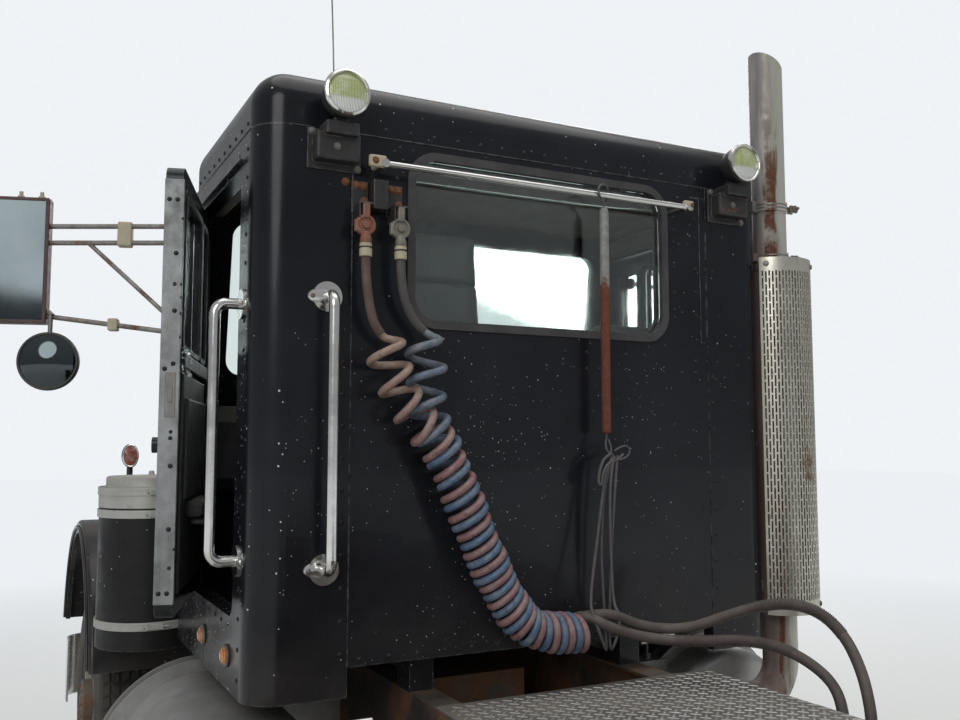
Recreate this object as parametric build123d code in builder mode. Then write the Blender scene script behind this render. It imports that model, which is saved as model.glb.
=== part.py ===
from build123d import *
import math
import os

# Long-nose three-axle tractor unit, in millimetres.
# +X is the vehicle's right, +Y its front, +Z up. The origin is on the ground, on the
# centreline, halfway along the vehicle.

os.makedirs("parts", exist_ok=True)

# Overall layout along the vehicle
front_axle_y = 2800
drive_axle_ys = (-1490, -2810)
fifth_wheel_y = -1900

# Wheels
tyre_radius = 525
tyre_width = 280
rim_radius = 286
rim_width = 210
front_track_half = 1020
dual_offsets = (750, 1080)
hub_radius = 92
seat_clear = 0.3

# Frame
rail_outer = 430
rail_depth = 270
rail_flange = 90
rail_thick = 9
frame_top = 970
rail_rear_y = -3300

# Cab shell
cab_width = 1900
cab_back_y = 530
cab_length = 1070
cab_corner = 100
wall = 50
side_bottom_z = 1009
back_bottom_z = 1092
roof_seam_z = 2643
roof_top_z = 2822
floor_top_z = 1132
cab_front_y = cab_back_y + cab_length
cab_half = cab_width / 2
seam_inset = 282
panel_seam_x = cab_half - seam_inset

# Windshield and cowl
scuttle_z = 1930
header_y = cab_front_y - 115
cowl_length = 100
cowl_front_y = cab_front_y + cowl_length

# Rear window
rear_window_half = 480
rear_window_bottom = 2084
rear_window_top = 2607
rear_window_corner = 85
gasket_lip = 13

# Doors: the opening's edges and the running gap round the door
door_rear_y = 730
door_front_y = 1460
door_bottom_z = 1220
door_top_z = 2550
door_gap = 6
door_sweep_gap = 9
door_thick = 50
hinge_stand = 14
hinge_y = door_front_y + 3
hinge_x = cab_half + hinge_stand
door_ajar = 17
window_bottom_z = 2010
window_margin = 62
vent_bar_x = 230
vent_bar = 26

# Hood
hood_gap = 12
hood_rear_top = scuttle_z - 6
hood_front_y = 3340
hood_rear_width = 1200
hood_front_width = 1050
hood_front_top = 1820
hood_bottom = 1100
hood_thick = 28
hood_shoulder = 230
hood_crown = 40
grille_depth = 70
grille_bottom = 790
fender_y = 2780
fender_z = 640
fender_radius = 720
fender_outer_x = 1210
fender_thick = 25
fender_lip = 60
fender_end_z = 800
hood_hinge_y = hood_front_y + 130
hood_hinge_z = 850

# What ends just behind and just ahead of the grille
rail_front_y = hood_front_y - 20
bumper_y = hood_front_y + 210

# Steering
kingpin_x = 880
kingpin_radius = 20
steer_arm = 200
tie_rod_z = 430


def front_plane(y):
    """A drawing plane across the vehicle at y: its x is +X and its y is +Z."""
    return Plane.XZ.offset(-y)


def side_plane(x):
    """A drawing plane along the vehicle at x: its x is +Y and its y is +Z."""
    return Plane.YZ.offset(x)


def rod(start, end, radius):
    """A straight round bar from start to end, added to the part being built."""
    a, b = Vector(*start), Vector(*end)
    with BuildSketch(Plane(origin=a, z_dir=b - a)) as section:
        Circle(radius)
    extrude(section.sketch, amount=(b - a).length)


def bent_bar(points, bend, radius):
    """A round bar bent at each inner point, added to the part being built."""
    with BuildLine() as path:
        FilletPolyline(*points, radius=bend)
    with BuildSketch(Plane(origin=points[0], z_dir=path.line % 0)) as section:
        Circle(radius)
    sweep(section.sketch, path=path.line)


def block(x, y, z, mode=Mode.ADD):
    """A box between the two values given for each of x, y and z."""
    centre = ((x[0] + x[1]) / 2, (y[0] + y[1]) / 2, (z[0] + z[1]) / 2)
    with Locations(centre):
        Box(abs(x[1] - x[0]), abs(y[1] - y[0]), abs(z[1] - z[0]), mode=mode)


def upright(x, y, z0, z1, radius, mode=Mode.ADD):
    """A vertical cylinder from z0 to z1."""
    with Locations((x, y, (z0 + z1) / 2)):
        Cylinder(radius, z1 - z0, mode=mode)


def crosswise(y, z, x0, x1, radius, mode=Mode.ADD):
    """A cylinder along X from x0 to x1."""
    with BuildSketch(side_plane(min(x0, x1))) as section:
        with Locations((y, z)):
            Circle(radius)
    extrude(section.sketch, amount=abs(x1 - x0), mode=mode)


def lengthwise(x, z, y0, y1, radius, mode=Mode.ADD):
    """A cylinder along Y from y0 to y1."""
    with BuildSketch(front_plane(min(y0, y1))) as section:
        with Locations((x, z)):
            Circle(radius)
    extrude(section.sketch, amount=-abs(y1 - y0), mode=mode)


# Frame rails and cross members
with BuildPart() as frame_rails:
    with BuildSketch(front_plane(rail_rear_y)):
        for side in (-1, 1):
            with Locations((side * (rail_outer - rail_flange / 2), frame_top - rail_depth / 2)):
                Rectangle(rail_flange, rail_depth)
            with Locations((side * (rail_outer - rail_flange / 2 - rail_thick),
                            frame_top - rail_depth / 2)):
                Rectangle(rail_flange, rail_depth - 2 * rail_thick, mode=Mode.SUBTRACT)
    extrude(amount=-(rail_front_y - rail_rear_y))
    web_inner = rail_outer - rail_thick
    for member_y in (rail_rear_y + 30, -2150, -900, 200, rail_front_y - 60):
        block((-web_inner, web_inner), (member_y - 30, member_y + 30),
              (frame_top - rail_depth + rail_thick, frame_top - rail_thick))
frame_rails.part.label = "frame_rails"
export_step(frame_rails.part, "parts/frame_rails.step")

# Front bumper: a bent plate with swept-back ends, on two brackets from the rails that also
# carry the hood's hinge pins
bumper_half = 1200
bumper_thick = 8
bumper_wrap = 200
bumper_bottom = 390
bumper_height = 310
with BuildPart() as front_bumper:
    with BuildSketch(Plane.XY.offset(bumper_bottom)):
        with Locations((0, bumper_y - bumper_wrap / 2)):
            outer = Rectangle(2 * bumper_half, bumper_wrap)
        fillet(outer.vertices().group_by(Axis.Y)[-1], 110)
        offset(amount=-bumper_thick, mode=Mode.SUBTRACT)
        with Locations((0, bumper_y - bumper_wrap)):
            Rectangle(2 * (bumper_half - bumper_thick), 3 * bumper_thick, mode=Mode.SUBTRACT)
    extrude(amount=bumper_height)
    for side in (-1, 1):
        block((side * (rail_outer - rail_flange), side * rail_outer),
              (rail_front_y, bumper_y - bumper_thick), (frame_top - rail_depth - 90, 700))
        block((side * 345, side * 374), (hood_hinge_y - 25, hood_hinge_y + 25),
              (699, hood_hinge_z + 25))
        crosswise(hood_hinge_y, hood_hinge_z, side * 374, side * 446, 15)
front_bumper.part.label = "front_bumper"
export_step(front_bumper.part, "parts/front_bumper.step")

# Engine and gearbox: one plain block between the rails, with its crankshaft line
shaft_z = 690
gearbox_rear_y = 900
engine_mount_y = 2360
with BuildPart() as engine_block:
    block((-310, 310), (1760, 3010), (600, 1640))
    block((-190, 190), (gearbox_rear_y + 120, 1760), (500, 900))
    lengthwise(0, shaft_z, gearbox_rear_y, gearbox_rear_y + 120, 90)
    for side in (-1, 1):
        block((side * 310, side * (rail_outer - rail_flange)),
              (engine_mount_y - 60, engine_mount_y + 60), (frame_top - 250, frame_top - 150))
engine_block.part.label = "engine_block"
export_step(engine_block.part, "parts/engine_block.step")

# Radiator with its tanks, standing on the front cross member
radiator_y = rail_front_y - 155
core_bottom = frame_top + 40
core_top = 1560
with BuildPart() as radiator:
    block((-400, 400), (radiator_y - 45, radiator_y + 45), (core_bottom, core_top))
    for tank_bottom, tank_top in ((core_top, core_top + 100), (frame_top, core_bottom)):
        block((-rail_outer, rail_outer), (radiator_y - 65, radiator_y + 65),
              (tank_bottom, tank_top))
radiator.part.label = "radiator"
export_step(radiator.part, "parts/radiator.step")

# Front axle: a dropped beam with an eye at each end, under two leaf springs
axle_z = tyre_radius
eye_radius = 46
eye_half = 60
spring_x = 475
spring_leaf = 14
leaf_lengths = (960, 820, 680, 520, 340)
spring_seat_z = 560
with BuildPart() as front_axle:
    with BuildSketch(front_plane(front_axle_y - 45)):
        with BuildLine():
            Polyline((-kingpin_x, axle_z + 40), (-kingpin_x, axle_z - 40), (-620, 400), (620, 400),
                     (kingpin_x, axle_z - 40), (kingpin_x, axle_z + 40), (560, 500), (-560, 500),
                     close=True)
        make_face()
    extrude(amount=-90)
    for side in (-1, 1):
        upright(side * kingpin_x, front_axle_y, axle_z - eye_half, axle_z + eye_half, eye_radius)
        upright(side * kingpin_x, front_axle_y, axle_z - eye_half, axle_z + eye_half,
                kingpin_radius + 0.5, mode=Mode.SUBTRACT)
        block((side * (spring_x - 45), side * (spring_x + 45)),
              (front_axle_y - 70, front_axle_y + 70), (495, spring_seat_z + 1))
        for number, length in enumerate(leaf_lengths):
            leaf_top = spring_seat_z + (len(leaf_lengths) - number) * spring_leaf
            block((side * (spring_x - 38), side * (spring_x + 38)),
                  (front_axle_y - length / 2, front_axle_y + length / 2),
                  (leaf_top - spring_leaf, leaf_top))
        for end in (-1, 1):
            eye_y = front_axle_y + end * leaf_lengths[0] / 2
            crosswise(eye_y, leaf_top - spring_leaf / 2 + 4 * spring_leaf,
                      side * (rail_outer + 2), side * (spring_x + 45), 26)
            block((side * rail_outer, side * (rail_outer + 16)), (eye_y - 40, eye_y + 40),
                  (spring_seat_z + 40, frame_top - 40))
front_axle.part.label = "front_axle"
export_step(front_axle.part, "parts/front_axle.step")

# Drive axles: a tube with a bowl in the middle and a spindle at each end, carried by a
# walking beam a side that pivots on a saddle below the frame
bowl_radius = 215
housing_radius = 62
spindle_radius = 46
backing_radius = 212
drum_gap = 8
hub_inner_x = 640
beam_x = 512
beam_half = 36
saddle_y = sum(drive_axle_ys) / 2
chamber_x = 330
chamber_radius = 82
with BuildPart() as drive_axles:
    for axle_y in drive_axle_ys:
        crosswise(axle_y, axle_z, -(hub_inner_x - 20), hub_inner_x - 20, housing_radius)
        crosswise(axle_y, axle_z, -1120, 1120, spindle_radius)
        with Locations((0, axle_y, axle_z)):
            Sphere(bowl_radius)
        lengthwise(0, axle_z + 60, axle_y, axle_y + bowl_radius + 30, 70)
        for side in (-1, 1):
            crosswise(axle_y, axle_z, side * (hub_inner_x - 20), side * (hub_inner_x - drum_gap),
                      backing_radius)
            block((side * (chamber_x - 35), side * (chamber_x + 35)), (axle_y - 85, axle_y - 20),
                  (axle_z + 20, axle_z + 110))
            lengthwise(side * chamber_x, axle_z + 80, axle_y - 245, axle_y - 75, chamber_radius)
            lengthwise(side * chamber_x, axle_z + 80, axle_y - 170, axle_y - 150,
                       chamber_radius + 8)
    for side in (-1, 1):
        with BuildSketch(side_plane(side * beam_x - beam_half)):
            with BuildLine():
                Polyline((drive_axle_ys[1] - 75, 390), (drive_axle_ys[1] - 75, 320),
                         (saddle_y, 250), (drive_axle_ys[0] + 75, 320),
                         (drive_axle_ys[0] + 75, 390), (saddle_y, 420), close=True)
            make_face()
        extrude(amount=2 * beam_half)
        for axle_y in drive_axle_ys:
            block((side * (beam_x - beam_half), side * (beam_x + beam_half)),
                  (axle_y - 60, axle_y + 60), (385, axle_z - housing_radius + 20))
        with BuildSketch(side_plane(side * beam_x - beam_half)):
            with BuildLine():
                Polyline((saddle_y - 130, 400), (saddle_y + 130, 400), (saddle_y + 330, 640),
                         (saddle_y + 330, 690), (saddle_y - 330, 690), (saddle_y - 330, 640),
                         close=True)
            make_face()
        extrude(amount=2 * beam_half)
        block((side * rail_outer, side * (beam_x + beam_half)),
              (saddle_y - 330, saddle_y + 330), (640, 740))
drive_axles.part.label = "drive_axles"
export_step(drive_axles.part, "parts/drive_axles.step")

# Drive shafts: gearbox to the first drive axle, and on to the second
shaft_runs = (
    # start y, end y, start z, end z, radius
    (gearbox_rear_y, drive_axle_ys[0] + bowl_radius + 30, shaft_z, axle_z + 60, 48),
    (drive_axle_ys[0] - bowl_radius, drive_axle_ys[1] + bowl_radius + 30,
     axle_z, axle_z + 60, 42),
)
with BuildPart() as drive_shafts:
    for start_y, end_y, start_z, end_z, radius in shaft_runs:
        rod((0, start_y - 120, start_z), (0, end_y + 120, end_z), radius)
        lengthwise(0, start_z, start_y - 130, start_y - seat_clear, 66)
        lengthwise(0, end_z, end_y + seat_clear, end_y + 130, 66)
drive_shafts.part.label = "drive_shafts"
export_step(drive_shafts.part, "parts/drive_shafts.step")

# Fuel tanks: a round tank a side with its filler, two hangers from the rail, and straps whose
# two curved ribs carry the step
tank_radius = 305
tank_x = 920
tank_z = 645
rib_height = 42
rib_thick = 9
rib_start_z = tank_z + 60
tank_table = (
    # side, rear y, front y
    (-1, 250, 1500),
    (1, 720, 1500),
)
with BuildPart() as fuel_tanks:
    for side, tank_rear, tank_front in tank_table:
        lengthwise(side * tank_x, tank_z, tank_rear, tank_front, tank_radius)
        fillet(fuel_tanks.edges().filter_by(GeomType.CIRCLE).filter_by(
            lambda e: abs(e.radius - tank_radius) < 0.1 and e.center().X * side > 0), 35)
    for side, tank_rear, tank_front in tank_table:
        for strap_y in (tank_rear + 180, tank_front - 180):
            lengthwise(side * tank_x, tank_z, strap_y - 35, strap_y + 35, tank_radius + 5)
            block((side * rail_outer, side * (tank_x - 200)), (strap_y - 45, strap_y + 45),
                  (frame_top - rail_depth, frame_top - 60))
            for rib_y in (strap_y - 35, strap_y + 35 - rib_thick):
                with BuildSketch(front_plane(rib_y)) as rib:
                    with Locations((side * tank_x, tank_z)):
                        Circle(tank_radius + rib_height)
                        Circle(tank_radius - 1, mode=Mode.SUBTRACT)
                    with Locations((side * (tank_x + 80), rib_start_z + tank_radius)):
                        Rectangle(2 * tank_radius, 2 * tank_radius, mode=Mode.INTERSECT)
                extrude(rib.sketch, amount=-rib_thick)
        cap_y = tank_rear + 330
        rod((side * (tank_x + 150), cap_y, tank_z + 210),
            (side * (tank_x + 235), cap_y, tank_z + 295), 48)
fuel_tanks.part.label = "fuel_tanks"
export_step(fuel_tanks.part, "parts/fuel_tanks.step")

# Deck plate across the rails behind the cab, with a folded tongue that parks the gladhands
tongue_x = 556
gladhand_ys = (-190, -95)
plate = 6
with BuildPart() as deck_plate:
    block((-rail_outer, rail_outer), (-480, 440), (frame_top, frame_top + plate))
    block((0, tongue_x), (gladhand_ys[0] - 55, gladhand_ys[1] + 55),
          (frame_top, frame_top + plate))
    block((tongue_x - plate, tongue_x), (gladhand_ys[0] - 55, gladhand_ys[1] + 55),
          (780, frame_top + plate))
deck_plate.part.label = "deck_plate"
export_step(deck_plate.part, "parts/deck_plate.step")

# Exhaust: elbow from the frame, silencer, stack with a slash-cut tip and two clamps
stack_out = 90
stack_x = cab_half + stack_out
stack_y = 595
stack_radius = 63.5
stack_top = 3231
slash_drop = 73
stack_low = stack_top - slash_drop
silencer_radius = 80
silencer_bottom = 1120
silencer_top = 2400
guard_radius = 144
guard_thick = 4
pipe_z = 800
with BuildPart() as exhaust_stack:
    bent_bar([(rail_outer + 30, stack_y, pipe_z), (stack_x, stack_y, pipe_z),
              (stack_x, stack_y, silencer_bottom)], 130, stack_radius)
    upright(stack_x, stack_y, silencer_bottom, silencer_top, silencer_radius)
    upright(stack_x, stack_y, silencer_top, stack_top, stack_radius)
    upright(stack_x, stack_y, silencer_top + 20, stack_top + 5, stack_radius - 4,
            mode=Mode.SUBTRACT)
    with BuildSketch(front_plane(stack_y - 200)):
        with BuildLine():
            Polyline((stack_x - stack_radius, stack_top), (stack_x + stack_radius, stack_low),
                     (stack_x + 200, stack_low), (stack_x + 200, stack_top + 50),
                     (stack_x - stack_radius, stack_top + 50), close=True)
        make_face()
    extrude(amount=-400, mode=Mode.SUBTRACT)
    for clamp_z in (silencer_top + 27, silencer_top + 222):
        upright(stack_x, stack_y, clamp_z - 18, clamp_z + 18, stack_radius + 6)
        upright(stack_x, stack_y, clamp_z - 18, clamp_z + 18, stack_radius - 4,
                mode=Mode.SUBTRACT)
        block((cab_half, stack_x - stack_radius), (stack_y - 8, stack_y + 8),
              (clamp_z - 14, clamp_z + 14))
    block((rail_outer, rail_outer + 40), (stack_y - 70, stack_y + 70), (pipe_z - 70, pipe_z + 70))
exhaust_stack.part.label = "exhaust_stack"
export_step(exhaust_stack.part, "parts/exhaust_stack.step")

# Slotted heat guard round the silencer, open towards the cab and the door, on two bands
guard_bottom = silencer_bottom - 10
guard_top = silencer_top + 10
guard_start = -150
guard_end = 48
slot_pitch = 62
slot_height = 44
slot_width = 10
slot_step = 13
with BuildPart() as exhaust_guard:
    upright(stack_x, stack_y, guard_bottom, guard_top, guard_radius)
    upright(stack_x, stack_y, guard_bottom, guard_top, guard_radius - guard_thick,
            mode=Mode.SUBTRACT)
    for band_z in (guard_bottom + 30, guard_top - 20):
        upright(stack_x, stack_y, band_z - 8, band_z + 8, guard_radius - guard_thick + 0.1)
        upright(stack_x, stack_y, band_z - 8, band_z + 8, silencer_radius + seat_clear,
                mode=Mode.SUBTRACT)
    with BuildSketch(Plane.XY.offset(guard_bottom - 1)):
        with Locations((stack_x, stack_y)):
            Polygon((0, 0), *[(400 * math.cos(math.radians(angle)),
                               400 * math.sin(math.radians(angle)))
                              for angle in (guard_end, 120, 360 + guard_start)], align=None)
    extrude(amount=guard_top - guard_bottom + 2, mode=Mode.SUBTRACT)
    slot_rows = int((guard_top - guard_bottom - 160) / slot_pitch)
    slot_columns = int((guard_end - guard_start - 20) / slot_step)
    slot_places = []
    for column in range(slot_columns):
        turn = guard_start + 10 + column * slot_step
        first_z = guard_bottom + 90 + (column % 2) * slot_pitch / 2
        for row in range(slot_rows):
            slot_places.append(Location((stack_x, stack_y, first_z + row * slot_pitch),
                                        (0, 0, turn)) * Location((guard_radius, 0, 0)))
    with Locations(*slot_places):
        Box(4 * guard_thick, slot_width, slot_height, mode=Mode.SUBTRACT)
exhaust_guard.part.label = "exhaust_guard"
export_step(exhaust_guard.part, "parts/exhaust_guard.step")

# Cab back: the centre panel between the two vertical seams, with the rear window cut
with BuildPart() as cab_back:
    block((-panel_seam_x, panel_seam_x), (cab_back_y, cab_back_y + wall),
          (back_bottom_z, roof_seam_z))
    with BuildSketch(front_plane(cab_back_y - 1)):
        with Locations((0, (rear_window_bottom + rear_window_top) / 2)):
            RectangleRounded(2 * rear_window_half, rear_window_top - rear_window_bottom,
                             rear_window_corner)
    extrude(amount=-(wall + 2), mode=Mode.SUBTRACT)
cab_back.part.label = "cab_back"
export_step(cab_back.part, "parts/cab_back.step")

# Cab sides: each runs from the back seam round the rounded corner to the raked front edge
rake = math.atan2(cab_front_y - header_y, roof_seam_z - scuttle_z)
with BuildPart() as cab_sides:
    with BuildSketch(Plane.XY.offset(side_bottom_z)):
        with Locations((0, cab_back_y + cab_length / 2)):
            outline = Rectangle(cab_width, cab_length)
        fillet(outline.vertices().group_by(Axis.Y)[0], cab_corner)
        offset(amount=-wall, mode=Mode.SUBTRACT)
        with Locations((0, cab_back_y + cab_length / 2)):
            Rectangle(2 * panel_seam_x, cab_length + 2, mode=Mode.SUBTRACT)
        with Locations((0, cab_front_y - wall / 2)):
            Rectangle(cab_width - 2 * wall, wall + 1, mode=Mode.SUBTRACT)
    extrude(amount=roof_seam_z - side_bottom_z)
    with BuildSketch(side_plane(-cab_half - 1)):
        with BuildLine():
            Polyline((cab_front_y, scuttle_z), (header_y, roof_seam_z),
                     (cab_front_y + 1, roof_seam_z + 1), close=True)
        make_face()
    extrude(amount=cab_width + 2, mode=Mode.SUBTRACT)
    for side in (-1, 1):
        with BuildSketch(side_plane(side * cab_half - wall - 1)):
            with Locations(((door_rear_y + door_front_y) / 2, (door_bottom_z + door_top_z) / 2)):
                RectangleRounded(door_front_y - door_rear_y, door_top_z - door_bottom_z, 45)
        extrude(amount=2 * wall + 2, mode=Mode.SUBTRACT)
        for hinge_z in (1400, 1885, 2370):
            block((side * cab_half, side * (cab_half + 8)), (hinge_y + 4, hinge_y + 62),
                  (hinge_z - 25, hinge_z + 25))
            upright(side * hinge_x, hinge_y, hinge_z - 25, hinge_z + 25, 10)
            upright(side * hinge_x, hinge_y, hinge_z - 26, hinge_z + 26, 5, mode=Mode.SUBTRACT)
cab_sides.part.label = "cab_sides"
export_step(cab_sides.part, "parts/cab_sides.step")

# Cab front: firewall, raked windshield frame with a centre post, the cowl ahead of it, and the
# floor with its four mounts on the rails
pane_half = (cab_half - wall) / 2 - 50
pane_inner = 26
pane_bottom = 60
pane_top = 640
with BuildPart() as cab_front:
    with BuildSketch(side_plane(-(cab_half - wall))):
        with BuildLine():
            Polyline((cab_front_y - wall, side_bottom_z), (cab_front_y, side_bottom_z),
                     (cab_front_y, scuttle_z), (header_y, roof_seam_z),
                     (header_y - wall, roof_seam_z), (cab_front_y - wall, scuttle_z), close=True)
        make_face()
    extrude(amount=cab_width - 2 * wall)
    with BuildSketch(Plane.XY.offset(back_bottom_z)):
        with Locations((0, (cab_back_y + cab_front_y) / 2)):
            floor = Rectangle(cab_width - 2 * wall, cab_length - 2 * wall)
        fillet(floor.vertices().group_by(Axis.Y)[0], cab_corner - wall)
    extrude(amount=floor_top_z - back_bottom_z)
    for side in (-1, 1):
        for mount_y in (cab_back_y + 160, cab_front_y - 160):
            block((side * (rail_outer - 80), side * rail_outer), (mount_y - 50, mount_y + 50),
                  (frame_top, back_bottom_z + 1))
    screen = Plane(origin=(0, cab_front_y, scuttle_z), x_dir=(1, 0, 0),
                   z_dir=(0, -math.cos(rake), -math.sin(rake)))
    with BuildSketch(screen.offset(-40)):
        for side in (-1, 1):
            with Locations((side * (pane_inner + pane_half), (pane_bottom + pane_top) / 2)):
                RectangleRounded(2 * pane_half - pane_inner, pane_top - pane_bottom, 60)
    extrude(amount=wall + 80, mode=Mode.SUBTRACT)
    with BuildSketch(front_plane(cab_front_y)) as cowl_outline:
        with BuildLine():
            Polyline((-hood_rear_width / 2, hood_rear_top - hood_crown),
                     (-hood_rear_width / 2, hood_bottom), (hood_rear_width / 2, hood_bottom),
                     (hood_rear_width / 2, hood_rear_top - hood_crown))
            ThreePointArc((-hood_rear_width / 2, hood_rear_top - hood_crown), (0, hood_rear_top),
                          (hood_rear_width / 2, hood_rear_top - hood_crown))
        make_face()
        fillet(cowl_outline.vertices().group_by(Axis.Y)[-1], hood_shoulder)
        offset(amount=-wall, mode=Mode.SUBTRACT)
        with Locations((0, hood_bottom)):
            Rectangle(hood_rear_width - 2 * wall, 3 * wall, mode=Mode.SUBTRACT)
    extrude(amount=-cowl_length)
cab_front.part.label = "cab_front"
export_step(cab_front.part, "parts/cab_front.step")

# Glass: two flat windshield panes and the rear window, each in its rubber
glass_thick = 6
with BuildPart() as cab_glass:
    with BuildSketch(screen.offset(20)):
        for side in (-1, 1):
            with Locations((side * (pane_inner + pane_half), (pane_bottom + pane_top) / 2)):
                RectangleRounded(2 * pane_half - pane_inner - 2 * seat_clear,
                                 pane_top - pane_bottom - 2 * seat_clear, 60 - seat_clear)
    extrude(amount=glass_thick)
    with BuildSketch(front_plane(cab_back_y + 12)):
        with Locations((0, (rear_window_bottom + rear_window_top) / 2)):
            RectangleRounded(2 * (rear_window_half - gasket_lip - seat_clear),
                             rear_window_top - rear_window_bottom - 2 * (gasket_lip + seat_clear),
                             rear_window_corner - gasket_lip - seat_clear)
    extrude(amount=-glass_thick)
cab_glass.part.label = "cab_glass"
export_step(cab_glass.part, "parts/cab_glass.step")

# Rubber gasket of the rear window: a lip over the panel outside and a body in the opening
with BuildPart() as window_gasket:
    for grow, start_y, depth in ((gasket_lip, cab_back_y - 7, 7), (-seat_clear, cab_back_y, wall)):
        with BuildSketch(front_plane(start_y)):
            with Locations((0, (rear_window_bottom + rear_window_top) / 2)):
                RectangleRounded(2 * (rear_window_half + grow),
                                 rear_window_top - rear_window_bottom + 2 * grow,
                                 rear_window_corner + grow)
                RectangleRounded(2 * (rear_window_half - gasket_lip),
                                 rear_window_top - rear_window_bottom - 2 * gasket_lip,
                                 rear_window_corner - gasket_lip, mode=Mode.SUBTRACT)
        extrude(amount=-depth)
window_gasket.part.label = "window_gasket"
export_step(window_gasket.part, "parts/window_gasket.step")

# Roof: a shallow shell with rolled edges over the cab, a little past the windshield
roof_front_y = header_y + 25
roof_roll = 105
roof_thick = 45
with BuildPart() as cab_roof:
    for inset, top, mode in ((0, roof_top_z, Mode.ADD),
                             (roof_thick, roof_top_z - roof_thick, Mode.SUBTRACT)):
        with BuildPart(mode=Mode.PRIVATE) as layer:
            with BuildSketch(Plane.XY.offset(roof_seam_z)):
                with Locations((0, (cab_back_y + roof_front_y) / 2)):
                    RectangleRounded(cab_width - 2 * inset,
                                     roof_front_y - cab_back_y - 2 * inset, cab_corner - inset)
            extrude(amount=top - roof_seam_z)
            fillet(layer.faces().sort_by(Axis.Z)[-1].edges(), roof_roll - inset)
        add(layer.part, mode=mode)
cab_roof.part.label = "cab_roof"
export_step(cab_roof.part, "parts/cab_roof.step")

# Dashboard with the steering column
wheel_centre = Vector(-430, 1180, 1840)
column_foot = Vector(-430, 1500, 1420)
wheel_hub_back = 24
with BuildPart() as dashboard:
    with BuildSketch(side_plane(-cab_half + wall)):
        with BuildLine():
            Polyline((cab_front_y - wall, 1560), (cab_front_y - wall, 1860), (1430, 1860),
                     (1370, 1800), (1345, 1600), (1400, 1560), close=True)
        make_face()
    extrude(amount=cab_width - 2 * wall)
    column = (wheel_centre - column_foot).normalized()
    rod(column_foot - column * 45, wheel_centre - column * (wheel_hub_back + seat_clear), 26)
dashboard.part.label = "dashboard"
export_step(dashboard.part, "parts/dashboard.step")

# Steering wheel: rim, hub and three spokes on the column
with BuildPart() as steering_wheel:
    wheel_plane = Plane(origin=wheel_centre, z_dir=column)
    with BuildSketch(wheel_plane.offset(-wheel_hub_back)):
        Circle(42)
    extrude(amount=40)
    with BuildSketch(wheel_plane.offset(-6)):
        with PolarLocations(0, 3):
            with Locations((115, 0)):
                Rectangle(210, 24)
    extrude(amount=10)
    rim_start = wheel_centre + wheel_plane.x_dir * 225
    with BuildSketch(Plane(origin=rim_start, x_dir=wheel_plane.x_dir,
                           z_dir=wheel_plane.y_dir)):
        Circle(15)
    revolve(axis=Axis(wheel_centre, column), revolution_arc=360)
steering_wheel.part.label = "steering_wheel"
export_step(steering_wheel.part, "parts/steering_wheel.step")

# Two high-back seats on pedestals
seat_x = 440
with BuildPart() as seats:
    for side in (-1, 1):
        block((side * seat_x - 150, side * seat_x + 150), (760, 1020), (floor_top_z, 1430))
        block((side * seat_x - 240, side * seat_x + 240), (700, 1120), (1430, 1550))
        with BuildSketch(side_plane(side * seat_x - 235)):
            with BuildLine():
                Polyline((700, 1550), (840, 1550), (760, 2300), (670, 2300), close=True)
            make_face()
        extrude(amount=470)
seats.part.label = "seats"
export_step(seats.part, "parts/seats.step")

# Air cleaners: a canister a side, on a bracket from the cab front, with its duct to the cowl
cleaner_x = 1020
cleaner_y = 1880
cleaner_radius = 190
cleaner_bottom = 950
cleaner_top = 1555
with BuildPart() as air_cleaners:
    for side in (-1, 1):
        upright(side * cleaner_x, cleaner_y, cleaner_bottom, cleaner_top, cleaner_radius)
        upright(side * cleaner_x, cleaner_y, cleaner_top, cleaner_top + 35, cleaner_radius - 25)
        for band_z in (cleaner_top - 99, cleaner_top - 15, cleaner_bottom + 90):
            upright(side * cleaner_x, cleaner_y, band_z - 14, band_z + 14, cleaner_radius + 5)
        for arm_z in (cleaner_top - 99, cleaner_bottom + 90):
            block((side * 870, side * 930), (cab_front_y, cleaner_y - 100), (arm_z - 12, arm_z + 12))
        rod((side * (cleaner_x - 60), cleaner_y - 40, 1300),
            (side * hood_rear_width / 2, cab_front_y + 45, 1300), 48)
        with BuildSketch(side_plane(side * hood_rear_width / 2 - 60)):
            with Locations((cab_front_y + 50, 1300)):
                Rectangle(200, 200)
        extrude(amount=60 if side > 0 else 120, mode=Mode.SUBTRACT)
air_cleaners.part.label = "air_cleaners"
export_step(air_cleaners.part, "parts/air_cleaners.step")

# Hood: a tapering panel, open below, from the cowl to the grille


def hood_section(y, inset=0, bottom=hood_bottom):
    """The hood's closed section at y, made smaller all round by inset."""
    share = (y - cowl_front_y) / (hood_front_y - cowl_front_y)
    half = (hood_rear_width + share * (hood_front_width - hood_rear_width)) / 2 - inset
    top = hood_rear_top + share * (hood_front_top - hood_rear_top) - inset
    with BuildSketch(front_plane(y)) as section:
        with BuildLine():
            Polyline((-half, top - hood_crown), (-half, bottom), (half, bottom),
                     (half, top - hood_crown))
            ThreePointArc((-half, top - hood_crown), (0, top), (half, top - hood_crown))
        make_face()
        fillet(section.vertices().group_by(Axis.Y)[-1], hood_shoulder - inset)
    return section.sketch


with BuildPart() as hood:
    hood_rear_y = cowl_front_y + hood_gap
    loft([hood_section(hood_rear_y), hood_section(hood_front_y)])
    loft([hood_section(hood_rear_y - 1, hood_thick, hood_bottom - 1),
          hood_section(hood_front_y + 1, hood_thick, hood_bottom - 1)], mode=Mode.SUBTRACT)
hood.part.label = "hood"
export_step(hood.part, "parts/hood.step")

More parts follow.
